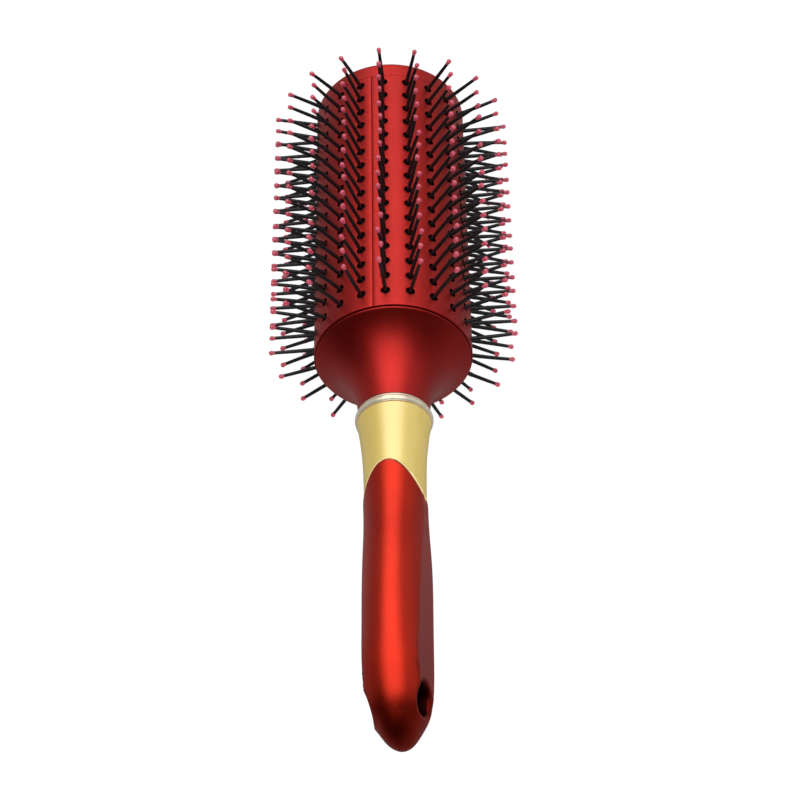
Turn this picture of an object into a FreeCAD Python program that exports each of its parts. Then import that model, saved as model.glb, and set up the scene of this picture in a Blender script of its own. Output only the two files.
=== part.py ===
import FreeCAD, Part
import math
import os
import Sketcher

# Round hair styling brush.
# Frame: the brush lies along Y, head towards +Y, handle towards -Y. +Z is the front of the
# handle (the side the tongue of the grip points up), X is the axis of the hang hole.
# Origin: centre of the flat end face of the head. Millimetres.

V = FreeCAD.Vector
doc = FreeCAD.newDocument("round_brush")

# ----------------------------------------------------------------------------- sizes
SIZES = [
    # barrel
    ("head_len", 107.6, "end face of the head to the rim where the shoulder starts"),
    ("cap_band", 6.1, "length of the end cap that shows"),
    ("cap_step", 1.3, "length of the cap step that centres the shells"),
    ("cap_plug", 6.5, "length of the cap plug inside the lock tube"),
    ("barrel_rad", 24.0, "outside radius of the barrel"),
    ("barrel_wall", 1.6, "wall of the barrel shells"),
    ("fit_gap", 0.05, "gap of a push fit, per side"),
    # pins
    ("row_first", 9.2, "end face to the first ring of pins"),
    ("row_pitch", 6.16, "spacing of the rings along the barrel"),
    ("row_count", 16, "pins on one strip"),
    ("strip_count", 20, "strips round the barrel"),
    ("hole_rad", 1.3, "radius of a pin hole"),
    ("boss_rad", 1.18, "radius of the boss that fills the pin hole"),
    ("boss_sink", 0.9, "how far the boss stays under the barrel surface"),
    ("pin_root_rad", 0.66, "pin radius at the boss"),
    ("pin_end_rad", 0.50, "pin radius at the tip"),
    ("tip_centre", 37.3, "distance of a ball tip from the brush axis"),
    ("tip_rad", 0.75, "radius of a ball tip"),
    ("rail_wide", 3.4, "width of the rail that carries one strip of pins"),
    ("rail_thick", 1.4, "thickness of the rail"),
    ("rail_over", 2.6, "rail past the last pin"),
    ("rail_lead", 1.6, "rail before the first pin"),
    # lock tube
    ("tube_wall", 1.4, "wall of the tube that holds the strips out"),
    # shoulder
    ("shoulder_len", 23.3, "rim to the neck end"),
    ("neck_rad", 10.7, "radius of the neck end"),
    ("lip_rad", 23.45, "radius where the trumpet starts under the rim"),
    ("lip_drop", 0.6, "height of the lip under the rim"),
    ("shoulder_wall", 2.2, "wall of the trumpet"),
    ("spigot_len", 3.1, "spigot of the shoulder inside the barrel"),
    ("web_top", 7.5, "rim to the web that takes the screw"),
    ("web_thick", 2.5, "thickness of that web"),
    ("socket_rad", 7.0, "radius of the socket for the handle tang"),
    ("socket_flat", 6.05, "half distance between the flats of the socket"),
    # collar and handle
    ("collar_len", 3.1, "length of the collar ring"),
    ("collar_rad", 11.3, "outside radius of the collar ring"),
    ("collar_bore", 8.95, "bore radius of the collar ring"),
    ("boss_top_rad", 8.9, "radius of the core where it carries the collar"),
    ("tang_rad", 6.95, "radius of the handle tang"),
    ("tang_flat", 6.0, "half distance between the flats of the tang"),
    ("screw_rad", 1.5, "outside radius of the screw thread"),
    ("screw_hole", 1.7, "radius of the clearance hole for the screw"),
    ("screw_head_rad", 3.2, "radius of the screw head"),
    ("screw_head_len", 2.2, "height of the screw head"),
    ("screw_len", 15.0, "length of the screw under its head"),
    # grip
    ("arch_apex", 46.8, "rim to the top of the tongue of the grip"),
    ("arch_drop", 10.2, "how much lower the edge lies at the sides"),
    ("arch_half", 9.2, "half width over which it drops that much"),
    ("flat_top", 40.0, "rim to where the side flats are widest apart"),
    ("flat_half", 9.12, "half distance between the side flats there"),
    ("flat_bend", 4500.0, "bend radius of the side flats along the handle"),
    ("flat_tilt", 4.0, "tilt of each side flat, narrower to the front, degrees"),
    ("hang_y", 125.0, "rim to the hang hole"),
    ("hang_z", 0.7, "height of the hang hole"),
    ("hang_rad", 4.5, "radius of the hang hole"),
    ("hang_round", 1.6, "rounding of the mouths of the hang hole"),
    ("core_end", 112.0, "rim to the lower end of the core inside the grip"),
]
sheet = doc.addObject("Spreadsheet::Sheet", "sizes")
D = {}
for i, (name, value, note) in enumerate(SIZES):
    sheet.set("A%d" % (i + 1), note)
    sheet.set("B%d" % (i + 1), str(value))
    sheet.setAlias("B%d" % (i + 1), name)
    D[name] = float(value)

# cross sections: distance below the rim, half width, front height, back depth
GRIP = [
    (44.0, 9.62, 9.85, 9.95),
    (50.0, 9.45, 9.75, 10.0),
    (57.0, 9.30, 9.80, 10.5),
    (66.0, 9.30, 10.28, 12.12),
    (78.0, 9.78, 11.33, 13.47),
    (92.0, 10.0, 12.65, 13.46),
    (106.0, 10.18, 13.25, 12.80),
    (117.6, 10.27, 12.95, 11.75),
    (123.9, 9.50, 11.30, 11.05),
    (128.2, 8.38, 9.40, 10.45),
    (131.5, 6.80, 7.15, 9.60),
    (134.1, 4.75, 4.75, 8.20),
    (135.8, 3.05, 2.40, 6.65),
    (136.8, 1.50, 0.45, 5.05),
    (137.25, 0.55, -1.30, 3.55),
]
CORE = [
    (26.4, 11.15, 11.17, 11.17),
    (28.5, 10.65, 10.67, 10.67),
    (31.5, 10.24, 10.26, 10.26),
    (36.0, 9.75, 9.77, 9.77),
    (42.0, 9.32, 9.40, 9.45),
    (50.0, 9.08, 9.35, 9.6),
    (60.0, 8.95, 9.5, 10.3),
]
SPINE = [
    (43.0, 6.4, 6.6, 6.6),
    (60.0, 6.0, 6.6, 6.8),
    (85.0, 6.0, 7.6, 8.4),
    (112.0, 5.4, 7.2, 7.0),
]
row = len(SIZES) + 3
for key, table in (("grip", GRIP), ("core", CORE), ("spine", SPINE)):
    for i, (at, half, front, back) in enumerate(table):
        for what, value in (("at", at), ("half", half), ("front", front), ("back", back)):
            alias = "%s_%s_%s" % (key, what, "abcdefghijklmnopqrs"[i])
            sheet.set("A%d" % row, "%s section %d, %s" % (key, i + 1, what))
            sheet.set("B%d" % row, str(value))
            sheet.setAlias("B%d" % row, alias)
            D[alias] = float(value)
            row += 1
doc.recompute()


class X:
    """A length with both its number and its spreadsheet expression."""

    def __init__(self, text, number):
        self.t, self.n = text, float(number)

    def __add__(self, o):
        o = lift(o)
        return X("(%s + %s)" % (self.t, o.t), self.n + o.n)

    def __sub__(self, o):
        o = lift(o)
        return X("(%s - %s)" % (self.t, o.t), self.n - o.n)

    def __mul__(self, o):
        o = lift(o)
        return X("(%s * %s)" % (self.t, o.t), self.n * o.n)

    def __neg__(self):
        return X("(0 - %s)" % self.t, -self.n)

    __radd__ = __add__
    __rmul__ = __mul__


def lift(o):
    return o if isinstance(o, X) else X("(%s)" % repr(float(o)), o)


def S(name):
    return X("sizes.%s" % name, D[name])


def bind(obj, prop, x):
    obj.setExpression(prop, lift(x).t)


def set_len(obj, prop, x):
    setattr(obj, prop, lift(x).n)
    bind(obj, prop, x)


# ----------------------------------------------------------------------------- helpers
def new_body(label):
    body = doc.addObject("PartDesign::Body", "Body_" + label)
    body.Label = label
    return body


def plane(body, role):
    for f in body.Origin.OriginFeatures:
        if f.Role == role:
            return f
    raise RuntimeError(role)


def sketch_on(body, name, role, shift=None, turn=None):
    sk = body.newObject("Sketcher::SketchObject", name)
    sk.AttachmentSupport = [(plane(body, role), "")]
    sk.MapMode = "FlatFace"
    rot = FreeCAD.Rotation(V(0, 1, 0), turn or 0.0)
    base = V(*[lift(c).n for c in (shift or (0, 0, 0))])
    sk.AttachmentOffset = FreeCAD.Placement(base, rot)
    for axis, c in zip("xyz", shift or (0, 0, 0)):
        if isinstance(c, X):
            bind(sk, "AttachmentOffset.Base." + axis, c)
    return sk


def pin_point(sk, geo, pos, x, y):
    """Ties one point of a sketch to its two distances from the sketch origin."""
    for axis, c, line in (("DistanceX", x, -2), ("DistanceY", y, -1)):
        c = lift(c)
        if abs(c.n) < 1e-9:
            sk.addConstraint(Sketcher.Constraint("PointOnObject", geo, pos, line))
        else:
            k = sk.addConstraint(Sketcher.Constraint(axis, -1, 1, geo, pos, c.n))
            sk.setExpression("Constraints[%d]" % k, c.t)


def profile(sk, points, arcs=None):
    """Closed outline. arcs maps the index of a side to (number of its middle point, radius)."""
    arcs = arcs or {}
    n = len(points)
    pts = [V(lift(a).n, lift(b).n, 0) for a, b in points]
    ends = []
    for i in range(n):
        p, q = pts[i], pts[(i + 1) % n]
        if i in arcs:
            mid = V(arcs[i][0][0], arcs[i][0][1], 0)
            left = (mid - p).cross(q - mid).z > 0  # turns left, the way a sketch keeps its arcs
            a, b = (p, q) if left else (q, p)
            g = sk.addGeometry(Part.ArcOfCircle(a, mid, b), False)
            ends.append((g, 1, 2) if left else (g, 2, 1))
        else:
            g = sk.addGeometry(Part.LineSegment(p, q), False)
            ends.append((g, 1, 2))
    for i in range(n):
        g, a, b = ends[i]
        g2, a2, b2 = ends[(i + 1) % n]
        sk.addConstraint(Sketcher.Constraint("Coincident", g, b, g2, a2))
    for i in range(n):
        g, a, b = ends[i]
        pin_point(sk, g, a, points[i][0], points[i][1])
        if i in arcs:
            radius = lift(arcs[i][1])
            k = sk.addConstraint(Sketcher.Constraint("Radius", g, radius.n))
            sk.setExpression("Constraints[%d]" % k, radius.t)


def circle(sk, radius, x=0.0, y=0.0):
    radius = lift(radius)
    g = sk.addGeometry(Part.Circle(V(lift(x).n, lift(y).n, 0), V(0, 0, 1), radius.n), False)
    k = sk.addConstraint(Sketcher.Constraint("Radius", g, radius.n))
    sk.setExpression("Constraints[%d]" % k, radius.t)
    pin_point(sk, g, 3, x, y)
    return g


def revolve_y(body, sk, name):
    """Full turn of a sketch on the YZ plane about the Y axis."""
    r = body.newObject("PartDesign::Revolution", name)
    r.Profile = sk
    r.ReferenceAxis = (plane(body, "Y_Axis"), [""])
    r.Angle = 360.0
    return r


def mid_of_arc(p, q, centre):
    """Middle point of the shorter arc from p to q about centre, in the sketch plane."""
    a, b = V(p[0] - centre[0], p[1] - centre[1], 0), V(q[0] - centre[0], q[1] - centre[1], 0)
    m = (a + b).normalize() * a.Length
    return (centre[0] + m.x, centre[1] + m.y)


def corner(p, sy, sr, r):
    """Middle of a quarter round of radius r whose centre lies at p, bulging to (sy, sr)."""
    h = r / math.sqrt(2.0)
    return (p[0] + sy * h, p[1] + sr * h)


rim = -S("head_len")
inner = S("barrel_rad") - S("barrel_wall")


# ----------------------------------------------------------------------------- barrel shells
# Two half tubes that meet in the plane of symmetry of the handle. Ten columns of round holes
# in each, the first one half a spacing away from the seam.
def barrel_shell(label, turn):
    body = new_body(label)
    sk = sketch_on(body, label + "_outline", "XZ_Plane", (0, 0, S("cap_band")))
    quarter = math.pi / 2
    for radius in (S("barrel_rad"), inner):
        ring = Part.Circle(V(0, 0, 0), V(0, 0, 1), radius.n)
        g = sk.addGeometry(Part.ArcOfCircle(ring, -quarter, quarter), False)
        sk.addConstraint(Sketcher.Constraint("Coincident", g, 3, -1, 1))
        k = sk.addConstraint(Sketcher.Constraint("Radius", g, radius.n))
        sk.setExpression("Constraints[%d]" % k, radius.t)
        for end in (1, 2):
            sk.addConstraint(Sketcher.Constraint("PointOnObject", g, end, -2))
    ro, ri = D["barrel_rad"], inner.n
    for end, sign in ((1, -1), (2, 1)):
        g = sk.addGeometry(Part.LineSegment(V(0, sign * ro, 0), V(0, sign * ri, 0)), False)
        sk.addConstraint(Sketcher.Constraint("Coincident", g, 1, 0, end))
        sk.addConstraint(Sketcher.Constraint("Coincident", g, 2, 1, end))
    pad = body.newObject("PartDesign::Pad", label + "_tube")
    pad.Profile = sk
    set_len(pad, "Length", S("head_len") - S("cap_band"))
    doc.recompute()
    sk2 = sketch_on(body, label + "_hole", "XY_Plane", None, 9.0)
    circle(sk2, S("hole_rad"), 0, -S("row_first"))
    cut = body.newObject("PartDesign::Pocket", label + "_first_hole")
    cut.Profile = sk2
    cut.Reversed = True
    set_len(cut, "Length", S("barrel_rad") + 6)
    doc.recompute()
    multi = body.newObject("PartDesign::MultiTransform", label + "_holes")
    multi.Originals = [cut]
    rows = body.newObject("PartDesign::LinearPattern", label + "_rows")
    rows.Direction = (plane(body, "Y_Axis"), [""])
    rows.Reversed = True
    set_len(rows, "Length", S("row_pitch") * (S("row_count") - 1))
    rows.Occurrences = int(D["row_count"])
    cols = body.newObject("PartDesign::PolarPattern", label + "_columns")
    cols.Axis = (plane(body, "Y_Axis"), [""])
    cols.Angle = 162.0
    cols.Occurrences = int(D["strip_count"] / 2)
    multi.Transformations = [rows, cols]
    body.Tip = multi
    body.Placement = FreeCAD.Placement(V(0, 0, 0), FreeCAD.Rotation(V(0, 1, 0), turn))
    return body


parts = []
t_right = barrel_shell("barrel_shell_right", 0.0)
t_left = barrel_shell("barrel_shell_left", 180.0)
parts += [t_right, t_left]

# ----------------------------------------------------------------------------- end cap
cap = new_body("head_end_cap")
sk = sketch_on(cap, "cap_profile", "YZ_Plane")
ro, e = S("barrel_rad"), 1.5
spig = inner - S("fit_gap")
rail_in = S("barrel_rad") - S("barrel_wall") - 0.1 - S("rail_thick")
t_out = rail_in - S("fit_gap")
t_in = t_out - S("tube_wall")
plug = t_in - S("fit_gap")
pts = [
    (0, 0),
    (0, ro - e),
    (X("(0 - 1.5)", -1.5), ro),
    (-S("cap_band"), ro),
    (-S("cap_band"), spig),
    (-S("cap_band") - S("cap_step"), spig),
    (-S("cap_band") - S("cap_step"), plug),
    (-S("cap_band") - S("cap_plug") + 0.5, plug),
    (-S("cap_band") - S("cap_plug"), plug - 0.5),
    (-S("cap_band") - S("cap_plug"), plug - 1.8),
    (-2.2, plug - 1.8),
    (-2.2, 0),
]
profile(sk, pts, {1: (corner((-e, ro.n - e), 1, 1, e), e)})
revolve_y(cap, sk, "cap_turned")
parts.append(cap)

# ----------------------------------------------------------------------------- shoulder
shoulder = new_body("neck_shoulder")
sk = sketch_on(shoulder, "shoulder_profile", "YZ_Plane")
neck = rim - S("shoulder_len")
arc_end = neck + 1.3
lip = rim - S("lip_drop")
# radius of the trumpet: tangent to the axis at the neck, through the lip
dy = lip.n - arc_end.n
dr = D["lip_rad"] - D["neck_rad"]
rho = (dy * dy + dr * dr) / (2.0 * dr)
rho_x = X(
    "(((sizes.shoulder_len - 1.3 - sizes.lip_drop)^2 + (sizes.lip_rad - sizes.neck_rad)^2)"
    " / (2 * (sizes.lip_rad - sizes.neck_rad)))",
    rho,
)
centre = (arc_end.n, D["neck_rad"] + rho)
rho_in = rho_x + S("shoulder_wall")
web = rim - S("web_top")
spin = spig - 1.9
cut_y = centre[0] + math.sqrt(rho_in.n**2 - (centre[1] - spin.n) ** 2)
web_r = centre[1] - math.sqrt(rho_in.n**2 - (web.n - centre[0]) ** 2)
p_top = (cut_y, spin.n)
p_web = (web.n, web_r)
pts = [
    (rim + S("spigot_len"), spin),
    (rim + S("spigot_len"), spig),
    (rim, spig),
    (rim, S("lip_rad")),
    (lip, S("lip_rad")),
    (arc_end, S("neck_rad")),
    (neck, S("neck_rad") - 0.1),
    (neck, 0),
    (web, 0),
    (web, web_r),
    (cut_y, spin),
]
profile(
    sk,
    pts,
    {
        4: (mid_of_arc((lip.n, D["lip_rad"]), (arc_end.n, D["neck_rad"]), centre), rho_x),
        9: (mid_of_arc(p_web, p_top, centre), rho_in),
    },
)
revolve_y(shoulder, sk, "shoulder_turned")
doc.recompute()
before = shoulder.Shape.Volume


def flat_round(sk, radius, flat):
    """A circle with two flats square to the sketch's first axis."""
    r, f = lift(radius), lift(flat)
    half = X("sqrt(%s^2 - %s^2)" % (r.t, f.t), math.sqrt(r.n**2 - f.n**2))
    pts = [(f, -half), (f, half), (-f, half), (-f, -half)]
    profile(sk, pts, {1: ((0, r.n), r), 3: ((0, -r.n), r)})


# socket for the tang, sunk from the neck end up to the web
sk = sketch_on(shoulder, "socket_outline", "XZ_Plane", (0, 0, -neck))
flat_round(sk, S("socket_rad"), S("socket_flat"))
pocket = shoulder.newObject("PartDesign::Pocket", "socket")
pocket.Profile = sk
set_len(pocket, "Length", S("shoulder_len") - S("web_top") - S("web_thick"))
doc.recompute()
if not shoulder.Shape.Volume < before - 1000:
    pocket.Reversed = True
    doc.recompute()
after = shoulder.Shape.Volume
assert after < before - 1000, "the socket cuts nothing"
sk = sketch_on(shoulder, "screw_hole_outline", "XZ_Plane", (0, 0, -neck))
circle(sk, S("screw_hole"))
hole = shoulder.newObject("PartDesign::Pocket", "screw_hole")
hole.Profile = sk
hole.Reversed = pocket.Reversed
set_len(hole, "Length", S("shoulder_len"))
doc.recompute()
assert shoulder.Shape.Volume < after - 10, "the screw hole cuts nothing"
parts.append(shoulder)

# ----------------------------------------------------------------------------- lock tube
tube = new_body("strip_lock_tube")
sk = sketch_on(tube, "tube_profile", "YZ_Plane")
y0, y1 = -S("cap_band") - S("cap_step") - 0.2, rim + S("spigot_len") + 0.3
pts = [(y0, t_in), (y0, t_out), (y1, t_out), (y1, t_in)]
profile(sk, pts)
revolve_y(tube, sk, "tube_turned")
parts.append(tube)


# ----------------------------------------------------------------------------- pin strips
# One strip is a flat rail inside the barrel with a row of pins on it. Each pin starts from a
# boss that fills its hole. The ball tips are beads formed on the pin ends.
def pin_strip(i, turn):
    label = "pin_strip_%02d" % i
    body = new_body(label)
    half = S("rail_wide") * 0.5
    far = -S("row_first") - S("row_pitch") * (S("row_count") - 1) - S("rail_over")
    near = -S("row_first") + S("rail_lead")
    sk = sketch_on(body, label + "_rail", "XY_Plane", (0, 0, rail_in))
    profile(sk, [(-half, near), (-half, far), (half, far), (half, near)])
    pad = body.newObject("PartDesign::Pad", label + "_rail_pad")
    pad.Profile = sk
    set_len(pad, "Length", S("rail_thick"))
    sk = sketch_on(body, label + "_pin", "YZ_Plane", (-S("row_first"), 0, 0))
    low = rail_in + S("rail_thick") * 0.5
    top = S("barrel_rad") - S("boss_sink")
    end = S("tip_centre") + 0.2
    pts = [
        (0, low),
        (S("boss_rad"), low),
        (S("boss_rad"), top - 0.25),
        (S("boss_rad") - 0.25, top),
        (S("pin_root_rad"), top),
        (S("pin_end_rad"), end),
        (0, end),
    ]
    profile(sk, pts)
    pin = body.newObject("PartDesign::Revolution", label + "_pin_turned")
    pin.Profile = sk
    pin.ReferenceAxis = (sk, ["V_Axis"])
    pin.Angle = 360.0
    doc.recompute()
    line = body.newObject("PartDesign::LinearPattern", label + "_pins")
    line.Originals = [pin]
    line.Direction = (plane(body, "Y_Axis"), [""])
    line.Reversed = True
    set_len(line, "Length", S("row_pitch") * (S("row_count") - 1))
    line.Occurrences = int(D["row_count"])
    body.Tip = line
    body.Placement = FreeCAD.Placement(V(0, 0, 0), FreeCAD.Rotation(V(0, 1, 0), turn))
    return body


def tip_row(i, turn):
    label = "pin_tips_%02d" % i
    body = new_body(label)
    if hasattr(body, "AllowCompound"):
        body.AllowCompound = True
    sk = sketch_on(body, label + "_bead", "YZ_Plane", (-S("row_first"), 0, 0))
    c, r, rp = S("tip_centre"), S("tip_rad"), S("pin_end_rad")
    end = c + 0.2
    # the pin keeps its taper inside the bead, so its radius at the bead's mouth is a little larger
    slope = (D["pin_root_rad"] - D["pin_end_rad"]) / (end.n - (D["barrel_rad"] - D["boss_sink"]))
    mouth = c.n - math.sqrt(r.n**2 - 0.53**2)
    rm = rp.n + slope * (end.n - mouth)
    mouth = c.n - math.sqrt(r.n**2 - rm**2)
    pts = [(rm, mouth), (rp, end), (0, end), (0, c + r)]
    profile(sk, pts, {3: ((r.n * 0.98, c.n + r.n * math.sqrt(1 - 0.98**2)), r)})
    bead = body.newObject("PartDesign::Revolution", label + "_bead_turned")
    bead.Profile = sk
    bead.ReferenceAxis = (sk, ["V_Axis"])
    bead.Angle = 360.0
    doc.recompute()
    line = body.newObject("PartDesign::LinearPattern", label + "_beads")
    line.Originals = [bead]
    line.Direction = (plane(body, "Y_Axis"), [""])
    line.Reversed = True
    set_len(line, "Length", S("row_pitch") * (S("row_count") - 1))
    line.Occurrences = int(D["row_count"])
    body.Tip = line
    body.Placement = FreeCAD.Placement(V(0, 0, 0), FreeCAD.Rotation(V(0, 1, 0), turn))
    return body


count = int(D["strip_count"])
for i in range(count):
    turn = (i + 0.5) * 360.0 / count
    parts.append(pin_strip(i + 1, turn))
    parts.append(tip_row(i + 1, turn))

# ----------------------------------------------------------------------------- collar ring
collar = new_body("collar_ring")
sk = sketch_on(collar, "collar_profile", "YZ_Plane")
c0, c1 = neck, neck - S("collar_len")
rr = S("collar_rad")
bulge = rr.n + 0.35
pts = [
    (c0, S("collar_bore")),
    (c0, rr - 0.45),
    (c0 - 0.35, rr),
    (c1 + 0.35, rr),
    (c1, rr - 0.45),
    (c1, S("collar_bore")),
]
L = D["collar_len"] - 0.7
sag = 0.3
rad = (L * L / 4 + sag * sag) / (2 * sag)
profile(sk, pts, {2: (((c0.n + c1.n) / 2, rr.n + sag), rad)})
revolve_y(collar, sk, "collar_turned")
parts.append(collar)

# ----------------------------------------------------------------------------- screw
screw = new_body("handle_screw")
sk = sketch_on(screw, "screw_profile", "YZ_Plane")
hy = web
pts = [
    (hy + S("screw_head_len"), 0),
    (hy + S("screw_head_len"), S("screw_head_rad") - 1.2),
    (hy + S("screw_head_len") - 1.0, S("screw_head_rad")),
    (hy, S("screw_head_rad")),
    (hy, S("screw_rad") - 0.25),
]
y = hy - S("web_thick") - 0.6
for k in range(8):
    pts += [
        (y, S("screw_rad") - 0.4),
        (y - 0.55, S("screw_rad") - 0.04),
        (y - 0.75, S("screw_rad") - 0.04),
    ]
    y = y - 1.3
pts += [(y, S("screw_rad") - 0.4), (hy - S("screw_len"), 0.25), (hy - S("screw_len"), 0)]
profile(sk, pts)
revolve_y(screw, sk, "screw_turned")
doc.recompute()
before = screw.Shape.Volume
sk = sketch_on(screw, "driver_cross", "XZ_Plane", (0, 0, -(hy + S("screw_head_len"))))
a, b = 1.9, 0.35
profile(
    sk,
    [(-a, -b), (-b, -b), (-b, -a), (b, -a), (b, -b), (a, -b), (a, b), (b, b), (b, a), (-b, a), (-b, b), (-a, b)],
)
cross = screw.newObject("PartDesign::Pocket", "driver_recess")
cross.Profile = sk
cross.Length = 1.1
doc.recompute()
if not screw.Shape.Volume < before - 1:
    cross.Reversed = True
    doc.recompute()
    if not screw.Shape.Volume < before - 1:
        cross.Reversed = False
        cross.Midplane = True
        cross.Length = 2.2
        doc.recompute()
assert screw.Shape.Volume < before - 1, "the driver recess cuts nothing"
parts.append(screw)


# ----------------------------------------------------------------------------- handle
# The handle is lofted through ellipses square to Y. The core carries the gold neck and a spine
# that runs down inside the grip; the grip is moulded round that spine.
def section(key, i):
    letter = "abcdefghijklmnopqrs"[i]
    at = S("%s_at_%s" % (key, letter))
    half = S("%s_half_%s" % (key, letter))
    front = S("%s_front_%s" % (key, letter))
    back = S("%s_back_%s" % (key, letter))
    e = doc.addObject("Part::Ellipse", "%s_section_%s" % (key, letter))
    # long axis of the ellipse along Z, short axis along X, normal along -Y
    set_len(e, "MajorRadius", (front + back) * 0.5)
    set_len(e, "MinorRadius", half)
    y = rim - at
    z = (front - back) * 0.5
    rot = FreeCAD.Rotation(V(0, 0, 1), V(1, 0, 0), V(0, 1, 0), "ZXY")
    m = FreeCAD.Matrix()
    m.A11, m.A21, m.A31 = 0, 0, 1  # local x -> Z
    m.A12, m.A22, m.A32 = 1, 0, 0  # local y -> X
    m.A13, m.A23, m.A33 = 0, 1, 0  # local z -> Y
    e.Placement = FreeCAD.Placement(V(0, y.n, z.n), FreeCAD.Placement(m).Rotation)
    bind(e, "Placement.Base.y", y)
    bind(e, "Placement.Base.z", z)
    return e


def loft(key, table):
    rings = [section(key, i) for i in range(len(table))]
    lo = doc.addObject("Part::Loft", key + "_loft")
    lo.Sections = rings
    lo.Solid = True
    lo.Ruled = False
    lo.Closed = False
    return lo


grip_loft = loft("grip", GRIP)
core_loft = loft("core", CORE)
spine_loft = loft("spine", SPINE)
doc.recompute()

# side flats of the grip: the grip stays inside two very large cylinders whose axes run front to
# back, each tilted a little so that the grip is narrower at its front
flats = []
for side in (1, -1):
    c = doc.addObject("Part::Cylinder", "flat_right" if side > 0 else "flat_left")
    set_len(c, "Radius", S("flat_bend"))
    c.Height = 120.0
    tilt = D["flat_tilt"]
    axis = FreeCAD.Rotation(V(0, 1, 0), -side * tilt)
    along = axis.multVec(V(0, 0, 1))
    out = axis.multVec(V(side, 0, 0))
    base = out * (D["flat_half"] - D["flat_bend"]) - along * 60.0
    c.Placement = FreeCAD.Placement(V(base.x, rim.n - D["flat_top"], base.z), axis)
    bind(c, "Placement.Base.y", rim - S("flat_top"))
    flats.append(c)

# the edge of the grip, a parabola seen from the front, runs right through the handle
arch = doc.addObject("Part::Feature", "arch_prism")
w = 16.0
k = D["arch_drop"] / D["arch_half"] ** 2
apex = rim.n - D["arch_apex"]
curve = Part.BSplineCurve()
curve.buildFromPolesMultsKnots(
    [V(-w, apex - k * w * w, -20), V(0, apex + k * w * w, -20), V(w, apex - k * w * w, -20)],
    [3, 3],
    [0, 1],
    False,
    2,
)
low = rim.n - 150.0
edges = [
    curve.toShape(),
    Part.makeLine(V(w, apex - k * w * w, -20), V(w, low, -20)),
    Part.makeLine(V(w, low, -20), V(-w, low, -20)),
    Part.makeLine(V(-w, low, -20), V(-w, apex - k * w * w, -20)),
]
arch.Shape = Part.Face(Part.Wire(edges)).extrude(V(0, 0, 40))
arch.Placement = FreeCAD.Placement()

below = doc.addObject("Part::MultiCommon", "grip_outside")
below.Shapes = [grip_loft, arch, flats[0], flats[1]]
neck_part = doc.addObject("Part::Cut", "core_neck")
neck_part.Base, neck_part.Tool = core_loft, arch

boss = doc.addObject("Part::Cylinder", "core_boss")
set_len(boss, "Radius", S("boss_top_rad"))
set_len(boss, "Height", S("collar_len"))
boss.Placement = FreeCAD.Placement(V(0, c1.n, 0), FreeCAD.Rotation(V(1, 0, 0), -90))
bind(boss, "Placement.Base.y", c1)

tang_body = new_body("tang_form")
sk = sketch_on(tang_body, "tang_outline", "XZ_Plane", (0, 0, -c0))
flat_round(sk, S("tang_rad"), S("tang_flat"))
tang = tang_body.newObject("PartDesign::Pad", "tang_pad")
tang.Profile = sk
tang.Reversed = True
set_len(tang, "Length", S("shoulder_len") - S("web_top") - S("web_thick") - 0.2)

pilot = doc.addObject("Part::Cylinder", "pilot_hole")
set_len(pilot, "Radius", S("screw_rad"))
pilot.Height = 16.0
pilot.Placement = FreeCAD.Placement(V(0, web.n - 18.0, 0), FreeCAD.Rotation(V(1, 0, 0), -90))
bind(pilot, "Placement.Base.y", web - 18.0)

core_all = doc.addObject("Part::MultiFuse", "core_fused")
core_all.Shapes = [neck_part, spine_loft, boss, tang_body]
core = doc.addObject("Part::Cut", "core_cut")
core.Base, core.Tool = core_all, pilot
core.Label = "handle_core"
doc.recompute()

grip_hollow = doc.addObject("Part::Cut", "grip_hollow")
grip_hollow.Base, grip_hollow.Tool = below, spine_loft
hang = doc.addObject("Part::Cylinder", "hang_drill")
set_len(hang, "Radius", S("hang_rad"))
hang.Height = 60.0
hang.Placement = FreeCAD.Placement(
    V(-30, rim.n - D["hang_y"], D["hang_z"]), FreeCAD.Rotation(V(0, 1, 0), 90)
)
bind(hang, "Placement.Base.y", rim - S("hang_y"))
bind(hang, "Placement.Base.z", S("hang_z"))
grip_cut = doc.addObject("Part::Cut", "grip_cut")
grip_cut.Base, grip_cut.Tool = grip_hollow, hang
doc.recompute()

# round the two mouths of the hang hole
mouths = []
for i, ed in enumerate(grip_cut.Shape.Edges):
    if not ed.Closed and len(ed.Vertexes) > 2:
        continue
    bb = ed.BoundBox
    cy, cz = rim.n - D["hang_y"], D["hang_z"]
    on = all(
        abs(math.hypot(p.y - cy, p.z - cz) - D["hang_rad"]) < 0.02 for p in ed.discretize(12)
    )
    if on and bb.XLength < 6 and (bb.YLength > 0.5 or bb.ZLength > 0.5):
        mouths.append(i + 1)
print("hang hole mouth edges", mouths)
grip = doc.addObject("Part::Fillet", "grip_rounded")
grip.Base = grip_cut
grip.Edges = [(i, D["hang_round"], D["hang_round"]) for i in mouths]
doc.recompute()
if "Invalid" in grip.State or grip.Shape.isNull() or not grip.Shape.isValid():
    print("hang hole rounding failed")
grip.Label = "grip_overmould"

final = [(b.Label, b) for b in parts] + [("handle_core", core), ("grip_overmould", grip)]

# ----------------------------------------------------------------------------- checks and files
doc.recompute()
bad = [o.Label for o in doc.Objects if "Invalid" in o.State or "Error" in o.State]
if bad:
    raise RuntimeError("failed objects: %s" % bad)
for label, obj in final:
    if obj.Shape.isNull() or not obj.Shape.isValid() or not obj.Shape.Solids:
        raise RuntimeError("bad shape: %s" % label)
os.makedirs("parts", exist_ok=True)
for label, obj in final:
    obj.Shape.exportStep("parts/%s.step" % label)
    print("%-20s solids %3d volume %9.1f" % (label, len(obj.Shape.Solids), obj.Shape.Volume))
print("nodes", len(final))
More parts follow.
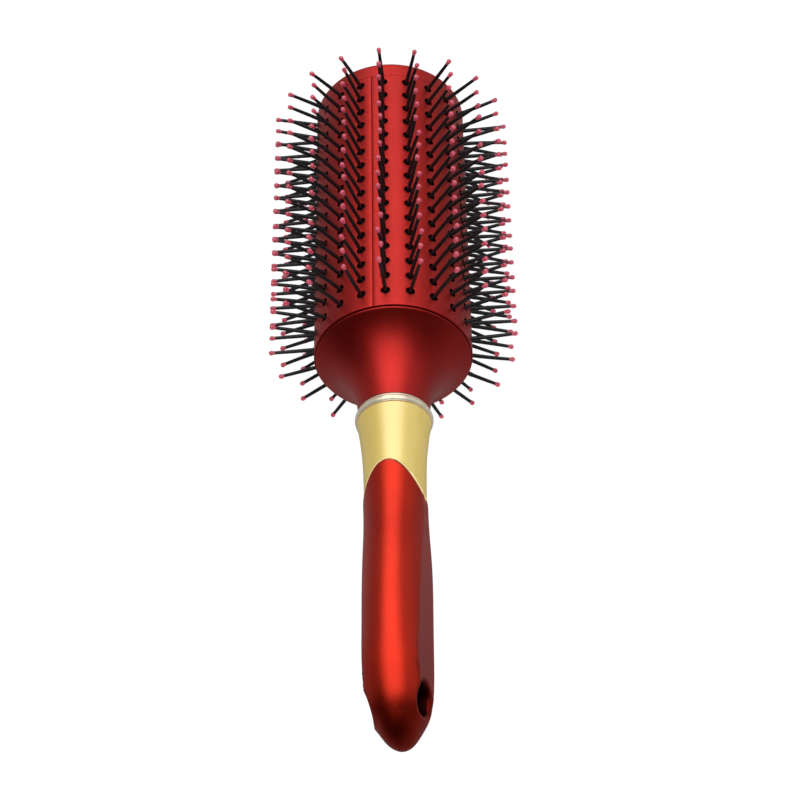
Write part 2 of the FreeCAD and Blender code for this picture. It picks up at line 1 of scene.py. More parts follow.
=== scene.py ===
"""Round brush: a perforated red barrel with twenty strips of ball-tipped pins, and a handle.

The brush lies along Y: its end cap is at y = 0 and the handle points to -Y. +Z is up.
Meshes are worked out in millimetres; lights, floor, camera and materials are in metres.
"""
import bmesh
import bpy
import math
import numpy as np
from mathutils import Matrix, Vector


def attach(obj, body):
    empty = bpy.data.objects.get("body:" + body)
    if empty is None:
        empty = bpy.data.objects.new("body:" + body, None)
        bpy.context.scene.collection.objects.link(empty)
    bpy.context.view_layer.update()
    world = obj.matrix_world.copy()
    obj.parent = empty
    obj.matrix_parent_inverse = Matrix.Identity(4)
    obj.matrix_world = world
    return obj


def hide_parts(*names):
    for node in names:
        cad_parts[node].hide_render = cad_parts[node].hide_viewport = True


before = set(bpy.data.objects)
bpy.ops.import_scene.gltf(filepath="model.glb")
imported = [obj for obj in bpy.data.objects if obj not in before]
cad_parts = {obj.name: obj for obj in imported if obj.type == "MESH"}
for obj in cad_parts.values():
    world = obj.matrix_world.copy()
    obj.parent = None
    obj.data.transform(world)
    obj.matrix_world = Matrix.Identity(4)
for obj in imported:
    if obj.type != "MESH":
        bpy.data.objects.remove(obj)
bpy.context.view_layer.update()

scene = bpy.context.scene
MM = 0.001

# ------------------------------------------------------------------ shared dimensions, mm
CAP_JOINT_Y = -6.1  # where the end cap meets the shells
SHELL_END_Y = -107.6  # handle end of the shells; distances along the handle start here
NECK_Y = -130.9  # handle end of the shoulder
COLLAR_END_Y = -134.0
SHELL_OUTER, SHELL_INNER = 24.0, 22.4  # radii

FIRST_PIN_Y, PIN_PITCH, PIN_ROWS = -9.2, 6.16, 16
STRIPS = 20
STRIP_STEP = 360.0 / STRIPS  # degrees

HOLE_Y, HOLE_Z = SHELL_END_Y - 125.0, 0.7  # axis of the hang hole, which runs along X
HOLE_RADIUS, HOLE_ROUNDING = 4.5, 1.6


# ------------------------------------------------------------------ node helpers
class Nodes:
    """Short helpers for building a node tree."""

    def __init__(self, tree):
        self.tree = tree
        tree.nodes.clear()

    def new(self, kind, **settings):
        node = self.tree.nodes.new(kind)
        for key, value in settings.items():
            setattr(node, key, value)
        return node

    def link(self, source, target):
        self.tree.links.new(source, target)

    def feed(self, target, value):
        """Links a socket, or sets a number or an RGB colour."""
        if hasattr(value, "is_linked"):
            self.link(value, target)
        else:
            target.default_value = (*value, 1) if isinstance(value, tuple) else value

    def math(self, operation, a, b=0.0):
        node = self.new("ShaderNodeMath", operation=operation)
        self.feed(node.inputs[0], a)
        self.feed(node.inputs[1], b)
        return node.outputs[0]

    def span(self, value, to=(0.0, 1.0), within=(0.3, 0.7), smooth=False):
        """Maps the range `within` of a value onto the range `to`."""
        kind = "SMOOTHSTEP" if smooth else "LINEAR"
        node = self.new("ShaderNodeMapRange", interpolation_type=kind)
        self.link(value, node.inputs[0])
        for index, number in enumerate((*within, *to), start=1):
            node.inputs[index].default_value = number
        return node.outputs[0]

    def choose(self, factor, off, on):
        """`off` where the factor is 0, `on` where it is 1."""
        off_part = self.math("MULTIPLY", self.math("SUBTRACT", 1.0, factor), off)
        return self.math("ADD", off_part, self.math("MULTIPLY", factor, on))


class Mat(Nodes):
    """A material with one Principled shader, textured in object coordinates."""

    def __init__(self, name):
        self.material = bpy.data.materials.new(name)
        self.material.use_nodes = True
        super().__init__(self.material.node_tree)
        output = self.new("ShaderNodeOutputMaterial")
        self.shader = self.new("ShaderNodeBsdfPrincipled")
        self.link(self.shader.outputs[0], output.inputs["Surface"])
        self.place = self.new("ShaderNodeTexCoord").outputs["Object"]

    def set(self, **values):
        for key, value in values.items():
            self.shader.inputs[key.replace("_", " ")].default_value = value

    def to(self, socket, value):
        self.link(value, self.shader.inputs[socket])

    def coords(self, stretch):
        mapping = self.new("ShaderNodeMapping")
        mapping.inputs["Scale"].default_value = stretch
        self.link(self.place, mapping.inputs["Vector"])
        return mapping.outputs[0]

    def noise(self, scale, detail=3.0, rough=0.5, stretch=(1, 1, 1)):
        node = self.new("ShaderNodeTexNoise")
        node.inputs["Scale"].default_value = scale
        node.inputs["Detail"].default_value = detail
        node.inputs["Roughness"].default_value = rough
        self.link(self.coords(stretch), node.inputs["Vector"])
        return node.outputs["Fac"]

    def voronoi(self, scale):
        node = self.new("ShaderNodeTexVoronoi")
        node.inputs["Scale"].default_value = scale
        self.link(self.coords((1, 1, 1)), node.inputs["Vector"])
        return node.outputs

    def mix(self, factor, a, b):
        node = self.new("ShaderNodeMix", data_type="RGBA")
        for index, value in ((0, factor), (6, a), (7, b)):
            self.feed(node.inputs[index], value)
        return node.outputs[2]

    def tones(self, pattern, low, high):
        """Blends two colours by a noise pattern."""
        return self.mix(self.span(pattern), low, high)

    def bump(self, height, distance, strength=1.0, after=None):
        node = self.new("ShaderNodeBump")
        node.inputs["Distance"].default_value = distance
        node.inputs["Strength"].default_value = strength
        self.link(height, node.inputs["Height"])
        if after is not None:
            self.link(after, node.inputs["Normal"])
        return node.outputs[0]

    def edges(self):
        """1 along convex edges, 0 elsewhere."""
        geometry = self.new("ShaderNodeNewGeometry")
        return self.span(geometry.outputs["Pointiness"], within=(0.52, 0.6))

    def squared_offset(self, axis, centre):
        """Squared distance from `centre` along one object axis."""
        separate = self.new("ShaderNodeSeparateXYZ")
        self.link(self.place, separate.inputs[0])
        offset = self.math("SUBTRACT", separate.outputs[axis], centre)
        return self.math("POWER", self.math("ABSOLUTE", offset), 2.0)


# ------------------------------------------------------------------ materials
def red_lacquer(name, deep, bright, rough, coat, coat_rough, shade_reach, bore=False):
    """Metallic red lacquer: fine flake, satin clear coat, rubbed edges, painted shade in recesses.

    The argument after coat_rough sets the reach of the painted shade in recesses, in metres; bore
    also paints shade on the wall of the hang hole.
    """
    flake_bump, flake_tint = 0.4, 0.12
    rub_tint, rub_rough = 0.3, 0.08
    rough_spread, coat_spread = 0.03, 0.07
    # near-black red of the painted shade
    shade_color = (0.03, 0.002, 0.001)
    m = Mat(name)
    tone = m.noise(scale=55.0, detail=2.0)
    fine = m.noise(scale=900.0, detail=2.0)
    color = m.tones(tone, deep, bright)
    flake = m.voronoi(scale=5200.0)
    spark = m.span(flake["Color"], within=(0.2, 0.95))
    color = m.mix(m.math("MULTIPLY", spark, flake_tint), color, (1.0, 0.07, 0.03))
    worn = m.edges()
    scuff = m.noise(scale=260.0, detail=4.0, rough=0.7)
    rub = m.math("MULTIPLY", worn, m.span(scuff, within=(0.45, 0.62)))
    color = m.mix(m.math("MULTIPLY", rub, rub_tint), color, (0.85, 0.16, 0.10))

    # painted shade: recesses found by ambient occlusion get a near-black colour and a weaker
    # specular and coat
    ao_node = m.new("ShaderNodeAmbientOcclusion", samples=8)
    ao_node.inputs["Distance"].default_value = shade_reach
    openness = ao_node.outputs["AO"]
    light = m.span(openness, to=(0.01, 1.0), within=(0.5, 0.92))
    color = m.mix(light, shade_color, color)
    m.to("Specular IOR Level", m.span(openness, to=(0.0, 0.5), within=(0.35, 0.8)))
    # painted shade on the wall of the hang hole, fading out over its rounded mouth
    if bore:
        dark_radius, clear_radius = HOLE_RADIUS * MM, 6.0 * MM
        across = m.squared_offset("Y", HOLE_Y * MM)
        up = m.squared_offset("Z", HOLE_Z * MM)
        off_axis = m.math("SQRT", m.math("ADD", across, up))
        outside = m.span(off_axis, to=(0.10, 1.0), within=(dark_radius, clear_radius))
        color = m.mix(outside, shade_color, color)
        light = m.math("MULTIPLY", light, outside)
    coat_weight = m.math("MULTIPLY", light, coat)

    m.to("Base Color", color)
    m.set(Metallic=1.0, Coat_Weight=coat)
    base_rough = m.span(fine, to=(rough - rough_spread, rough + rough_spread))
    m.to("Roughness", m.math("ADD", base_rough, m.math("MULTIPLY", rub, rub_rough)))
    m.to("Coat Weight", coat_weight)
    coat_range = (coat_rough * (1 - coat_spread), coat_rough * (1 + coat_spread))
    m.to("Coat Roughness", m.span(scuff, to=coat_range))
    flakes = m.bump(flake["Distance"], distance=0.00002, strength=flake_bump)
    waves = m.noise(scale=420.0, detail=1.0)
    m.to("Normal", m.bump(waves, distance=0.00005, strength=0.3, after=flakes))
    coat_waves = m.noise(scale=300.0, detail=1.0)
    m.to("Coat Normal", m.bump(coat_waves, distance=0.00004, strength=0.25))
    return m.material


def gold_paint(name, deep, bright, metal, painted_glow, painted_glow_strength):
    """Sparkling gold under a glossy coat, with a faint emission that is painted light."""
    spark_tint = 0.25
    m = Mat(name)
    color = m.tones(m.noise(scale=70.0, detail=2.0), deep, bright)
    flake = m.voronoi(scale=4800.0)
    spark = m.span(flake["Color"], within=(0.2, 0.95))
    color = m.mix(m.math("MULTIPLY", spark, spark_tint), color, (1.0, 0.88, 0.36))
    m.to("Base Color", color)
    m.set(Metallic=metal, Specular_IOR_Level=0.5)
    m.to("Roughness", m.span(m.noise(scale=700.0, detail=2.0), to=(0.42, 0.50)))
    m.set(Coat_Weight=1.0, Coat_Roughness=0.27, Coat_IOR=2.5)
    m.to("Normal", m.bump(flake["Distance"], distance=0.00002, strength=0.4))
    # painted light: emission brightens the paint although it is no lamp
    m.set(Emission_Color=(*painted_glow, 1), Emission_Strength=painted_glow_strength)
    return m.material


def groove_shade(name, deep, bright):
    """Matt painted shade in a parting groove, mottled in tone."""
    m = Mat(name)
    shade_mottle = m.noise(scale=1400.0, detail=4.0, rough=0.7)
    m.to("Base Color", m.tones(shade_mottle, deep, bright))
    m.to("Roughness", m.span(shade_mottle, to=(0.55, 0.8)))
    m.to("Normal", m.bump(shade_mottle, distance=0.00003, strength=0.5))
    return m.material


def polished_ring(name):
    m = Mat(name)
    brushed = m.noise(scale=260.0, detail=3.0, rough=0.6, stretch=(0.2, 12.0, 0.2))
    m.to("Base Color", m.tones(brushed, (0.92, 0.81, 0.58), (0.98, 0.90, 0.70)))
    m.set(Metallic=0.62)
    m.to("Roughness", m.span(brushed, to=(0.13, 0.22)))
    m.to("Normal", m.bump(brushed, distance=0.00001, strength=0.4))
    return m.material


def black_nylon(name):
    m = Mat(name)
    fine = m.noise(scale=1800.0, detail=3.0)
    m.to("Base Color", m.tones(fine, (0.006, 0.005, 0.006), (0.014, 0.012, 0.013)))
    m.to("Roughness", m.span(fine, to=(0.30, 0.44)))
    m.to("Normal", m.bump(fine, distance=0.00002, strength=0.4))
    m.set(Specular_IOR_Level=0.5)
    return m.material


def pink_bead(name):
    m = Mat(name)
    blotch = m.noise(scale=420.0, detail=2.0)
    m.to("Base Color", m.tones(blotch, (0.54, 0.070, 0.115), (0.68, 0.115, 0.17)))
    m.to("Roughness", m.span(m.noise(scale=1500.0, detail=2.0), to=(0.10, 0.18)))
    m.set(Specular_IOR_Level=0.6, Coat_Weight=0.5, Coat_Roughness=0.06)
    m.set(
        Subsurface_Weight=0.25,
        Subsurface_Radius=(0.0006, 0.0002, 0.0002),
        Subsurface_Scale=1.0,
    )
    waves = m.noise(scale=900.0, detail=1.0)
    m.to("Normal", m.bump(waves, distance=0.00003, strength=0.3))
    return m.material


def natural_tube(name):
    m = Mat(name)
    fine = m.noise(scale=300.0, detail=4.0)
    m.to("Base Color", m.tones(fine, (0.55, 0.52, 0.46), (0.66, 0.63, 0.56)))
    m.to("Roughness", m.span(fine, to=(0.45, 0.6)))
    m.to("Normal", m.bump(fine, distance=0.00004, strength=0.5))
    return m.material


def zinc_steel(name):
    m = Mat(name)
    fine = m.noise(scale=900.0, detail=3.0, rough=0.6, stretch=(1, 8, 1))
    m.to("Base Color", m.tones(fine, (0.52, 0.53, 0.55), (0.68, 0.68, 0.70)))
    m.set(Metallic=1.0)
    m.to("Roughness", m.span(fine, to=(0.25, 0.4)))
    m.to("Normal", m.bump(fine, distance=0.00002, strength=0.4))
    return m.material


BARREL_RED = red_lacquer(
    "barrel_red_lacquer",
    deep=(0.64, 0.012, 0.008),
    bright=(0.74, 0.018, 0.012),
    rough=0.46,
    coat=0.55,
    coat_rough=0.42,
    shade_reach=0.0016,
)
GRIP_RED = red_lacquer(
    "grip_red_lacquer",
    deep=(0.77, 0.022, 0.002),
    bright=(0.89, 0.032, 0.004),
    rough=0.38,
    coat=0.42,
    coat_rough=0.34,
    shade_reach=0.006,
    bore=True,
)
# gold paint with a faint painted glow
GOLD = gold_paint(
    "gold_paint",
    deep=(0.97, 0.70, 0.095),
    bright=(1.0, 0.78, 0.14),
    metal=0.42,
    painted_glow=(1.0, 0.44, 0.06),
    painted_glow_strength=0.05,
)
# painted highlight: a lighter gold with a stronger emission along the lip of the grip's arched
# edge
LIP = gold_paint(
    "gold_lip_painted_highlight",
    deep=(1.0, 0.74, 0.30),
    bright=(1.0, 0.82, 0.40),
    metal=0.0,
    painted_glow=(1.0, 0.60, 0.20),
    painted_glow_strength=0.24,
)
# painted shade: dark matt bands in the groove at the grip's arched edge, at the collar's end by
# the gold neck, and at the joint of shoulder and collar
GROOVE = groove_shade("groove_shade", deep=(0.26, 0.060, 0.020), bright=(0.40, 0.11, 0.035))
RING_END_SHADE = groove_shade("ring_line_shade", deep=(0.36, 0.20, 0.07), bright=(0.50, 0.30, 0.12))
JOINT = groove_shade("joint_shade", deep=(0.045, 0.008, 0.005), bright=(0.09, 0.018, 0.010))
RING = polished_ring("pale_gold_ring")
NYLON = black_nylon("black_nylon")
BEAD = pink_bead("pink_bead")
TUBE = natural_tube("natural_tube")
STEEL = zinc_steel("zinc_steel")

CAD_PAINTS = {
    "handle_core": GOLD,
    "grip_overmould": GRIP_RED,
    "collar_ring": RING,
    "strip_lock_tube": TUBE,
    "handle_screw": STEEL,
}


def cad_paint(name):
    if name.startswith("pin_strip"):
        return NYLON
    if name.startswith("pin_tips"):
        return BEAD
    return CAD_PAINTS.get(name, BARREL_RED)


for node_name, cad_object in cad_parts.items():
    cad_object.data.materials.clear()
    cad_object.data.materials.append(cad_paint(node_name))


# ------------------------------------------------------------------ mesh helpers
class Build:
    """Collects the points and faces of one piece, in millimetres."""

    def __init__(self):
        self.parts, self.faces, self.count = [], [], 0

    def points(self, places):
        """Adds points; returns their ids in the same layout."""
        places = np.asarray(places, float)
        first = self.count
        self.parts.append(places.reshape(-1, 3))
        self.count += len(self.parts[-1])
        return np.arange(first, self.count).reshape(places.shape[:-1])

    def places(self, ids):
        return np.vstack(self.parts)[ids]

    def quads(self, ids, wrap=False, keep=None):
        """Joins rows of ids[row][column], only the cells in the mask `keep` if given."""
        a, b = ids[:-1], ids[1:]
        if wrap:
            a2, b2 = np.roll(a, -1, 1), np.roll(b, -1, 1)
        else:
            a, a2, b, b2 = a[:, :-1], a[:, 1:], b[:, :-1], b[:, 1:]
        cells = np.stack([a, a2, b2, b], -1)
        if keep is not None:
            cells = cells[keep]
        self.faces += cells.reshape(-1, 4).tolist()

    def grid(self, rows, wrap=False, closed=False):
        """Adds rows of points and joins them; closed also joins the last to the first."""
        ids = self.points(np.array(rows))
        self.quads(ids, wrap)
        if closed:
            self.quads(np.array([ids[-1], ids[0]]), wrap)
        return ids

    def disc(self, ring, centre, flip=False):
        """Closes a ring of ids with a fan round a middle point."""
        middle = int(self.points([centre])[0])
        for i in range(len(ring)):
            face = [int(ring[i]), int(ring[(i + 1) % len(ring)]), middle]
            self.faces.append(face[::-1] if flip else face)

    def piece(self, name, material, slot, node, sharp, weld=0.0004):
        """Makes the object; sharp is in degrees, weld in millimetres."""
        mesh = bpy.data.meshes.new(name)
        mesh.from_pydata((np.vstack(self.parts) * MM).tolist(), [], self.faces)
        bm = bmesh.new()
        bm.from_mesh(mesh)
        bmesh.ops.remove_doubles(bm, verts=bm.verts, dist=weld * MM)
        bmesh.ops.dissolve_degenerate(bm, edges=bm.edges, dist=weld * MM * 0.5)
        loose = [vert for vert in bm.verts if not vert.link_faces]
        bmesh.ops.delete(bm, geom=loose, context="VERTS")
        bmesh.ops.recalc_face_normals(bm, faces=bm.faces)
        bm.to_mesh(mesh)
        bm.free()
        mesh.polygons.foreach_set("use_smooth", [True] * len(mesh.polygons))
        mesh.set_sharp_from_angle(angle=math.radians(sharp))
        mesh.materials.append(material)
        obj = bpy.data.objects.new(name, mesh)
        scene.collection.objects.link(obj)
        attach(obj, "root")
        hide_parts(node)
        return obj


def polar(theta, y, radius):
    """Points about the Y axis; theta in degrees from +Z towards +X."""
    angle = np.radians(theta)
    return np.stack([radius * np.sin(angle), y + 0 * angle, radius * np.cos(angle)], -1)


def local(theta, across, y, height):
    """Points in the frame of one strip: across it, along Y, and out from the axis."""
    angle = math.radians(theta)
    x = across * math.cos(angle) + height * math.sin(angle)
    z = -across * math.sin(angle) + height * math.cos(angle)
    return np.stack([x, np.broadcast_to(y, np.shape(x)), z], -1)


def rect_outline(left, right, low, high, count):
    """Anticlockwise rectangle from (left, low), `count` points to a side."""
    part = np.arange(count) / count
    width, height = right - left, high - low
    sides = (
        (left + width * part, np.full(count, low)),
        (np.full(count, right), low + height * part),
        (right - width * part, np.full(count, high)),
        (np.full(count, left), high - height * part),
    )
    return np.concatenate([np.stack(side, -1) for side in sides])


def arc(centre_y, centre_r, radius, start, end, steps):
    """Arc in the (y, r) plane; degrees, 0 along +y and 90 along +r."""
    points = []
    for i in range(steps + 1):
        angle = math.radians(start + (end - start) * i / steps)
        points.append((centre_y + radius * math.cos(angle), centre_r + radius * math.sin(angle)))
    return points


def sin_cos(degrees):
    return math.sin(math.radians(degrees)), math.cos(math.radians(degrees))


def turned(outline, count):
    """Closed turned body from an outline of (y, r), which may start and end on the axis."""
    b = Build()
    angles = np.arange(count) * 360.0 / count
    on_axis = outline[0][1] == 0
    rows = [polar(angles, y, r) for y, r in outline if r > 0]
    ids = b.grid(rows, wrap=True, closed=not on_axis)
    if on_axis:
        b.disc(ids[0], (0, outline[0][0], 0))
        b.disc(ids[-1], (0, outline[-1][0], 0))
    return b


# ------------------------------------------------------------------ barrel shells
CELL_STEPS = 6  # points to a side of one cell
CELL_COLUMNS = 10  # per half shell
PIN_HOLE_RADIUS, PIN_HOLE_ROUNDING = 1.3, 0.24
FIRST_ROOM = 2.6  # the first ring of holes has less room towards the cap
SEAM = 0.16 / SHELL_OUTER * 180 / math.pi  # degrees rounded off beside the parting line
SEAM_CUTS = ((1.0, 0.0), (0.55, 0.035), (0.2, 0.12), (0.0, 0.24))  # part of seam, drop
CAP_END_ROUNDING, HANDLE_END_ROUNDING = 0.16, 0.34


def shell_cell(b, theta, y, left, right, room):
    """One piece of shell round a pin hole; left and right in degrees, room towards the cap."""
    line = rect_outline(left, right, -PIN_PITCH / 2, room, CELL_STEPS)
    turn, along = np.radians(line[:, 0]), line[:, 1]
    across = SHELL_OUTER * np.sin(turn)
    angle = np.arctan2(along, across)

    def on(radius, across, along, drop=0.0):
        return local(theta, across, y + along, np.sqrt(radius**2 - across**2) - drop)

    mouth = PIN_HOLE_RADIUS + PIN_HOLE_ROUNDING
    mouth_across, mouth_along = mouth * np.cos(angle), mouth * np.sin(angle)
    rows = []
    for f in (0.0, 0.4, 0.72):
        flat_across = across + (mouth_across - across) * f
        rows.append(on(SHELL_OUTER, flat_across, along + (mouth_along - along) * f))
    for degrees in (0, 30, 60, 90):
        s, c = sin_cos(degrees)
        radius = PIN_HOLE_RADIUS + PIN_HOLE_ROUNDING * (1 - s)
        drop = PIN_HOLE_ROUNDING * (1 - c)
        rows.append(on(SHELL_OUTER, radius * np.cos(angle), radius * np.sin(angle), drop))
    rows.append(on(SHELL_INNER, PIN_HOLE_RADIUS * np.cos(angle), PIN_HOLE_RADIUS * np.sin(angle)))
    rows.append(on(SHELL_INNER, SHELL_INNER * np.sin(turn), along))
    b.grid(rows, wrap=True)


def shell_angles(start):
    """Stations round the shell, the same as the cells use."""
    n, step, last = CELL_STEPS, STRIP_STEP, CELL_COLUMNS - 1
    angles = [SEAM + (step - SEAM) * j / n for j in range(n)]
    for k in range(1, last):
        angles += [step * k + step * j / n for j in range(n)]
    angles += [step * last + (step - SEAM) * j / n for j in range(n + 1)]
    return start + np.array(angles)


def barrel_shell(name, start, node):
    """Half shell from the angle `start` over 180 degrees."""
    b = Build()
    half, half_pitch = STRIP_STEP / 2, PIN_PITCH / 2
    for k in range(CELL_COLUMNS):
        left = -half + (SEAM if k == 0 else 0.0)
        right = half - (SEAM if k == CELL_COLUMNS - 1 else 0.0)
        for i in range(PIN_ROWS):
            theta = start + half + STRIP_STEP * k
            room = half_pitch if i else FIRST_ROOM
            shell_cell(b, theta, FIRST_PIN_Y - PIN_PITCH * i, left, right, room)

    # the plain bands at both ends
    top = FIRST_PIN_Y + FIRST_ROOM
    low = FIRST_PIN_Y - PIN_PITCH * (PIN_ROWS - 1) - half_pitch

    def straight(y0, y1):
        return [(y0 + (y1 - y0) * i / 2, SHELL_OUTER) for i in range(3)]

    e = CAP_END_ROUNDING
    cap_outer = arc(CAP_JOINT_Y - e, SHELL_OUTER - e, e, 0, 90, 4)
    cap_outer += straight(CAP_JOINT_Y - e - 0.1, top)
    e = HANDLE_END_ROUNDING
    handle_outer = straight(low, SHELL_END_Y + e + 0.6)
    handle_outer += arc(SHELL_END_Y + e, SHELL_OUTER - e, e, 90, 180, 6)
    cap_end = [(y, SHELL_INNER) for y, _ in cap_outer[::-1]] + cap_outer
    handle_end = handle_outer + [(y, SHELL_INNER) for y, _ in handle_outer[::-1]]
    angles = shell_angles(start)
    for outline in (cap_end, handle_end):
        b.grid([polar(angles, y, r) for y, r in outline])

    # the strips beside the parting line, across the outside and back along the inside
    n = CELL_STEPS
    ys = [top - (half_pitch + FIRST_ROOM) * j / n for j in range(n)]
    ys += [FIRST_PIN_Y - half_pitch - PIN_PITCH * j / n for j in range(n * (PIN_ROWS - 1) + 1)]
    profile = [(CAP_JOINT_Y, SHELL_INNER)] + cap_outer[:-1]
    profile += [(y, SHELL_OUTER) for y in ys]
    profile += handle_outer[1:] + [(SHELL_END_Y, SHELL_INNER)]
    for edge, inner in ((start, start + SEAM), (start + 180.0, start + 180.0 - SEAM)):
        rows = []
        for f, drop in SEAM_CUTS:
            angle = edge + (inner - edge) * f
            rows.append(
                [polar(angle, y, r - (drop if r > SHELL_INNER + 0.2 else 0.0)) for y, r in profile]
            )
        for f in (0.0, 0.2, 0.55, 1.0):
            angle = edge + (inner - edge) * f
            rows.append([polar(angle, y, SHELL_INNER) for y, _ in profile])
        b.grid(rows)
    return b.piece(name, BARREL_RED, "barrel_red", node, sharp=50, weld=0.002)


# ------------------------------------------------------------------ end cap, shoulder, collar
CAP_ROUNDING, CAP_JOINT_ROUNDING = 1.5, 0.22
FIT_RADIUS = 22.35  # parts that sit inside the shells

# the shoulder's flare is one arc, from the foot by the neck to the lip by the shells
FOOT_Y, FOOT_RADIUS = -129.6, 10.7
FLARE_LIP_Y, LIP_RADIUS = -108.2, 23.45
FLARE_LENGTH, FLARE_RISE = FLARE_LIP_Y - FOOT_Y, LIP_RADIUS - FOOT_RADIUS
FLARE_ARC = (FLARE_LENGTH * FLARE_LENGTH + FLARE_RISE * FLARE_RISE) / (2 * FLARE_RISE)
FLARE_WALL = 2.2

COLLAR_RADIUS, COLLAR_ROUNDING, COLLAR_STEPS = 11.3, 0.28, 14


def end_cap():
    joint, e = CAP_JOINT_Y, CAP_JOINT_ROUNDING
    # (y, r): face, rounded edge, side, then the step inside the shells and the hollow
    outline = [(0, 0), (0, 6), (0, 12), (0, 18), (0, 21.5)]
    outline += arc(-CAP_ROUNDING, SHELL_OUTER - CAP_ROUNDING, CAP_ROUNDING, 0, 90, 12)
    outline += [(-3.0, SHELL_OUTER), (-4.8, SHELL_OUTER), (joint + 0.3, SHELL_OUTER)]
    outline += arc(joint + e, SHELL_OUTER - e, e, 90, 180, 4)
    outline += [
        (joint, FIT_RADIUS), (joint - 1.15, FIT_RADIUS), (joint - 1.3, 22.2),
        (joint - 1.3, 19.4), (joint - 6.0, 19.4), (joint - 6.5, 18.9),
        (joint - 6.5, 17.6), (-2.2, 17.6), (-2.2, 10.0), (-2.2, 0),
    ]
    b = turned(outline, 192)
    return b.piece("end_cap", BARREL_RED, "barrel_red", "head_end_cap", sharp=50)


def flare_radius(y, wall=0.0):
    """Radius of the flare at y, on a face `wall` inside the outer one."""
    return FOOT_RADIUS + FLARE_ARC - math.sqrt((FLARE_ARC + wall) ** 2 - (y - FOOT_Y) ** 2)


def shoulder():
    # (y, r): spigot inside the shells and the lip
    outline = [
        (-104.5, 20.45), (-104.5, 22.15), (-104.7, FIT_RADIUS), (SHELL_END_Y, FIT_RADIUS),
        (SHELL_END_Y, 23.2), (-107.66, 23.38), (-107.8, LIP_RADIUS), (-108.1, LIP_RADIUS),
    ]
    ys = np.concatenate([np.linspace(FLARE_LIP_Y, -109.3, 6), np.linspace(-109.9, FOOT_Y, 56)])
    flare = [(y, flare_radius(y)) for y in ys]
    flare[0] = (flare[0][0], flare[0][1] - 0.03)  # softens the edge of the lip
    outline += flare
    # neck end and the bore behind it
    outline += [
        (-130.3, 10.68), (-130.7, 10.64), (NECK_Y, 10.45), (NECK_Y, 7.1), (-130.8, 7.0),
        (-117.7, 7.0), (-117.7, 1.7), (-115.1, 1.7), (-115.1, 13.8),
    ]
    outline += [(y, flare_radius(y, FLARE_WALL)) for y in np.linspace(-115.0, -109.3, 12)]
    b = turned(outline, 208)
    return b.piece("shoulder", BARREL_RED, "barrel_red", "neck_shoulder", sharp=45)


def collar():
    """Polished ring with a thin rolled edge on both sides and a slight waviness."""
    b = Build()
    y0, y1, r, e = NECK_Y - 0.02, COLLAR_END_Y, COLLAR_RADIUS, COLLAR_ROUNDING
    profile = [(y0, 8.95), (y0, 10.75)] + arc(y0 - e, r - e - 0.1, e, 0, 90, 5)
    profile += [(y0 - 0.45, r - 0.16)]
    for i in range(COLLAR_STEPS + 1):
        f = i / COLLAR_STEPS
        y = y0 - 0.55 + (y1 + 0.55 - (y0 - 0.55)) * f
        crown = 0.02 + 0.3 * math.sin(math.pi * f) ** 0.8 if 0 < f < 1 else -0.02
        profile.append((y, r + crown))
    profile += [(y1 + 0.45, r - 0.16)]
    profile += arc(y1 + e, r - e - 0.1, e, 90, 180, 5) + [(y1, 10.75), (y1, 8.95)]

    theta = np.arange(240) * 360.0 / 240
    t = np.radians(theta)
    rows = []
    for y, radius in profile:
        f = (y0 - y) / (y0 - y1)
        fade = math.sin(math.pi * min(max(f, 0), 1)) if radius > r - 0.1 else 0.0
        wave = 0.030 * np.sin(7 * t + 2.4 * f + 0.4)
        wave = wave + 0.022 * np.sin(13 * t - 3.0 * f + 1.1)
        wave = wave + 0.016 * np.sin(23 * t + 4.1 * f)
        rows.append(polar(theta, y, radius + fade * wave))
    b.grid(rows, wrap=True, closed=True)
    return b.piece("collar", RING, "collar_gold", "collar_ring", sharp=60)


# ------------------------------------------------------------------ pin strips and ball tips
# heights are measured out from the barrel's axis
RAIL_HALF_WIDTH, RAIL_CHAMFER = 1.7, 0.2
RAIL_TOP, RAIL_LOW = 22.3, 20.9
RAIL_CAP_END, RAIL_HANDLE_END = 1.6, 2.6  # rail beyond the first and the last pin
TAPER_START, PIN_END = 23.1, 37.5
ROOT_RADIUS, END_RADIUS = 0.66, 0.50
BALL_HEIGHT, BALL_RADIUS = 37.3, 0.75
BEND_START = 23.7
PIN_FOOT = (  # radius, height
    (1.30, RAIL_TOP), (1.21, RAIL_TOP + 0.05), (1.18, RAIL_TOP + 0.15), (1.18, 22.81),
    (1.15, 22.95), (1.06, 23.05), (0.92, 23.10), (0.78, 23.15), (0.70, 23.27), (0.665, 23.5),
)
SLEEVE_RADIUS = 0.512
SLEEVE = (  # added radius, height
    (0.0, PIN_END), (0.006, 36.15), (0.022, 36.15), (0.034, 36.3), (0.065, 36.48), (0.13, 36.6),
)

random = np.random.default_rng(7)
# bend of every pin at its tip, by strip and row: across the strip and along Y
BENDS = random.normal(0.0, 1.0, (STRIPS, PIN_ROWS, 2)) * np.array([0.36, 0.30])
BENDS = np.clip(BENDS, -0.85, 0.85)


def bend_at(height, bend):
    part = np.clip((height - BEND_START) / (BALL_HEIGHT - BEND_START), 0, 1.05)
    return (part**1.7) * bend


def pin_axis(theta, y, bend, height):
    shift = bend_at(height, bend)
    return local(theta, shift[0], y + shift[1], height)


def pin_rows(theta, y, bend, profile, angles):
    """Rings round a bent pin, from a profile of (radius, height)."""
    rows = []
    for radius, height in profile:
        shift = bend_at(height, bend)
        across = radius * np.cos(angles) + shift[0]
        rows.append(local(theta, across, y + radius * np.sin(angles) + shift[1], height))
    return rows


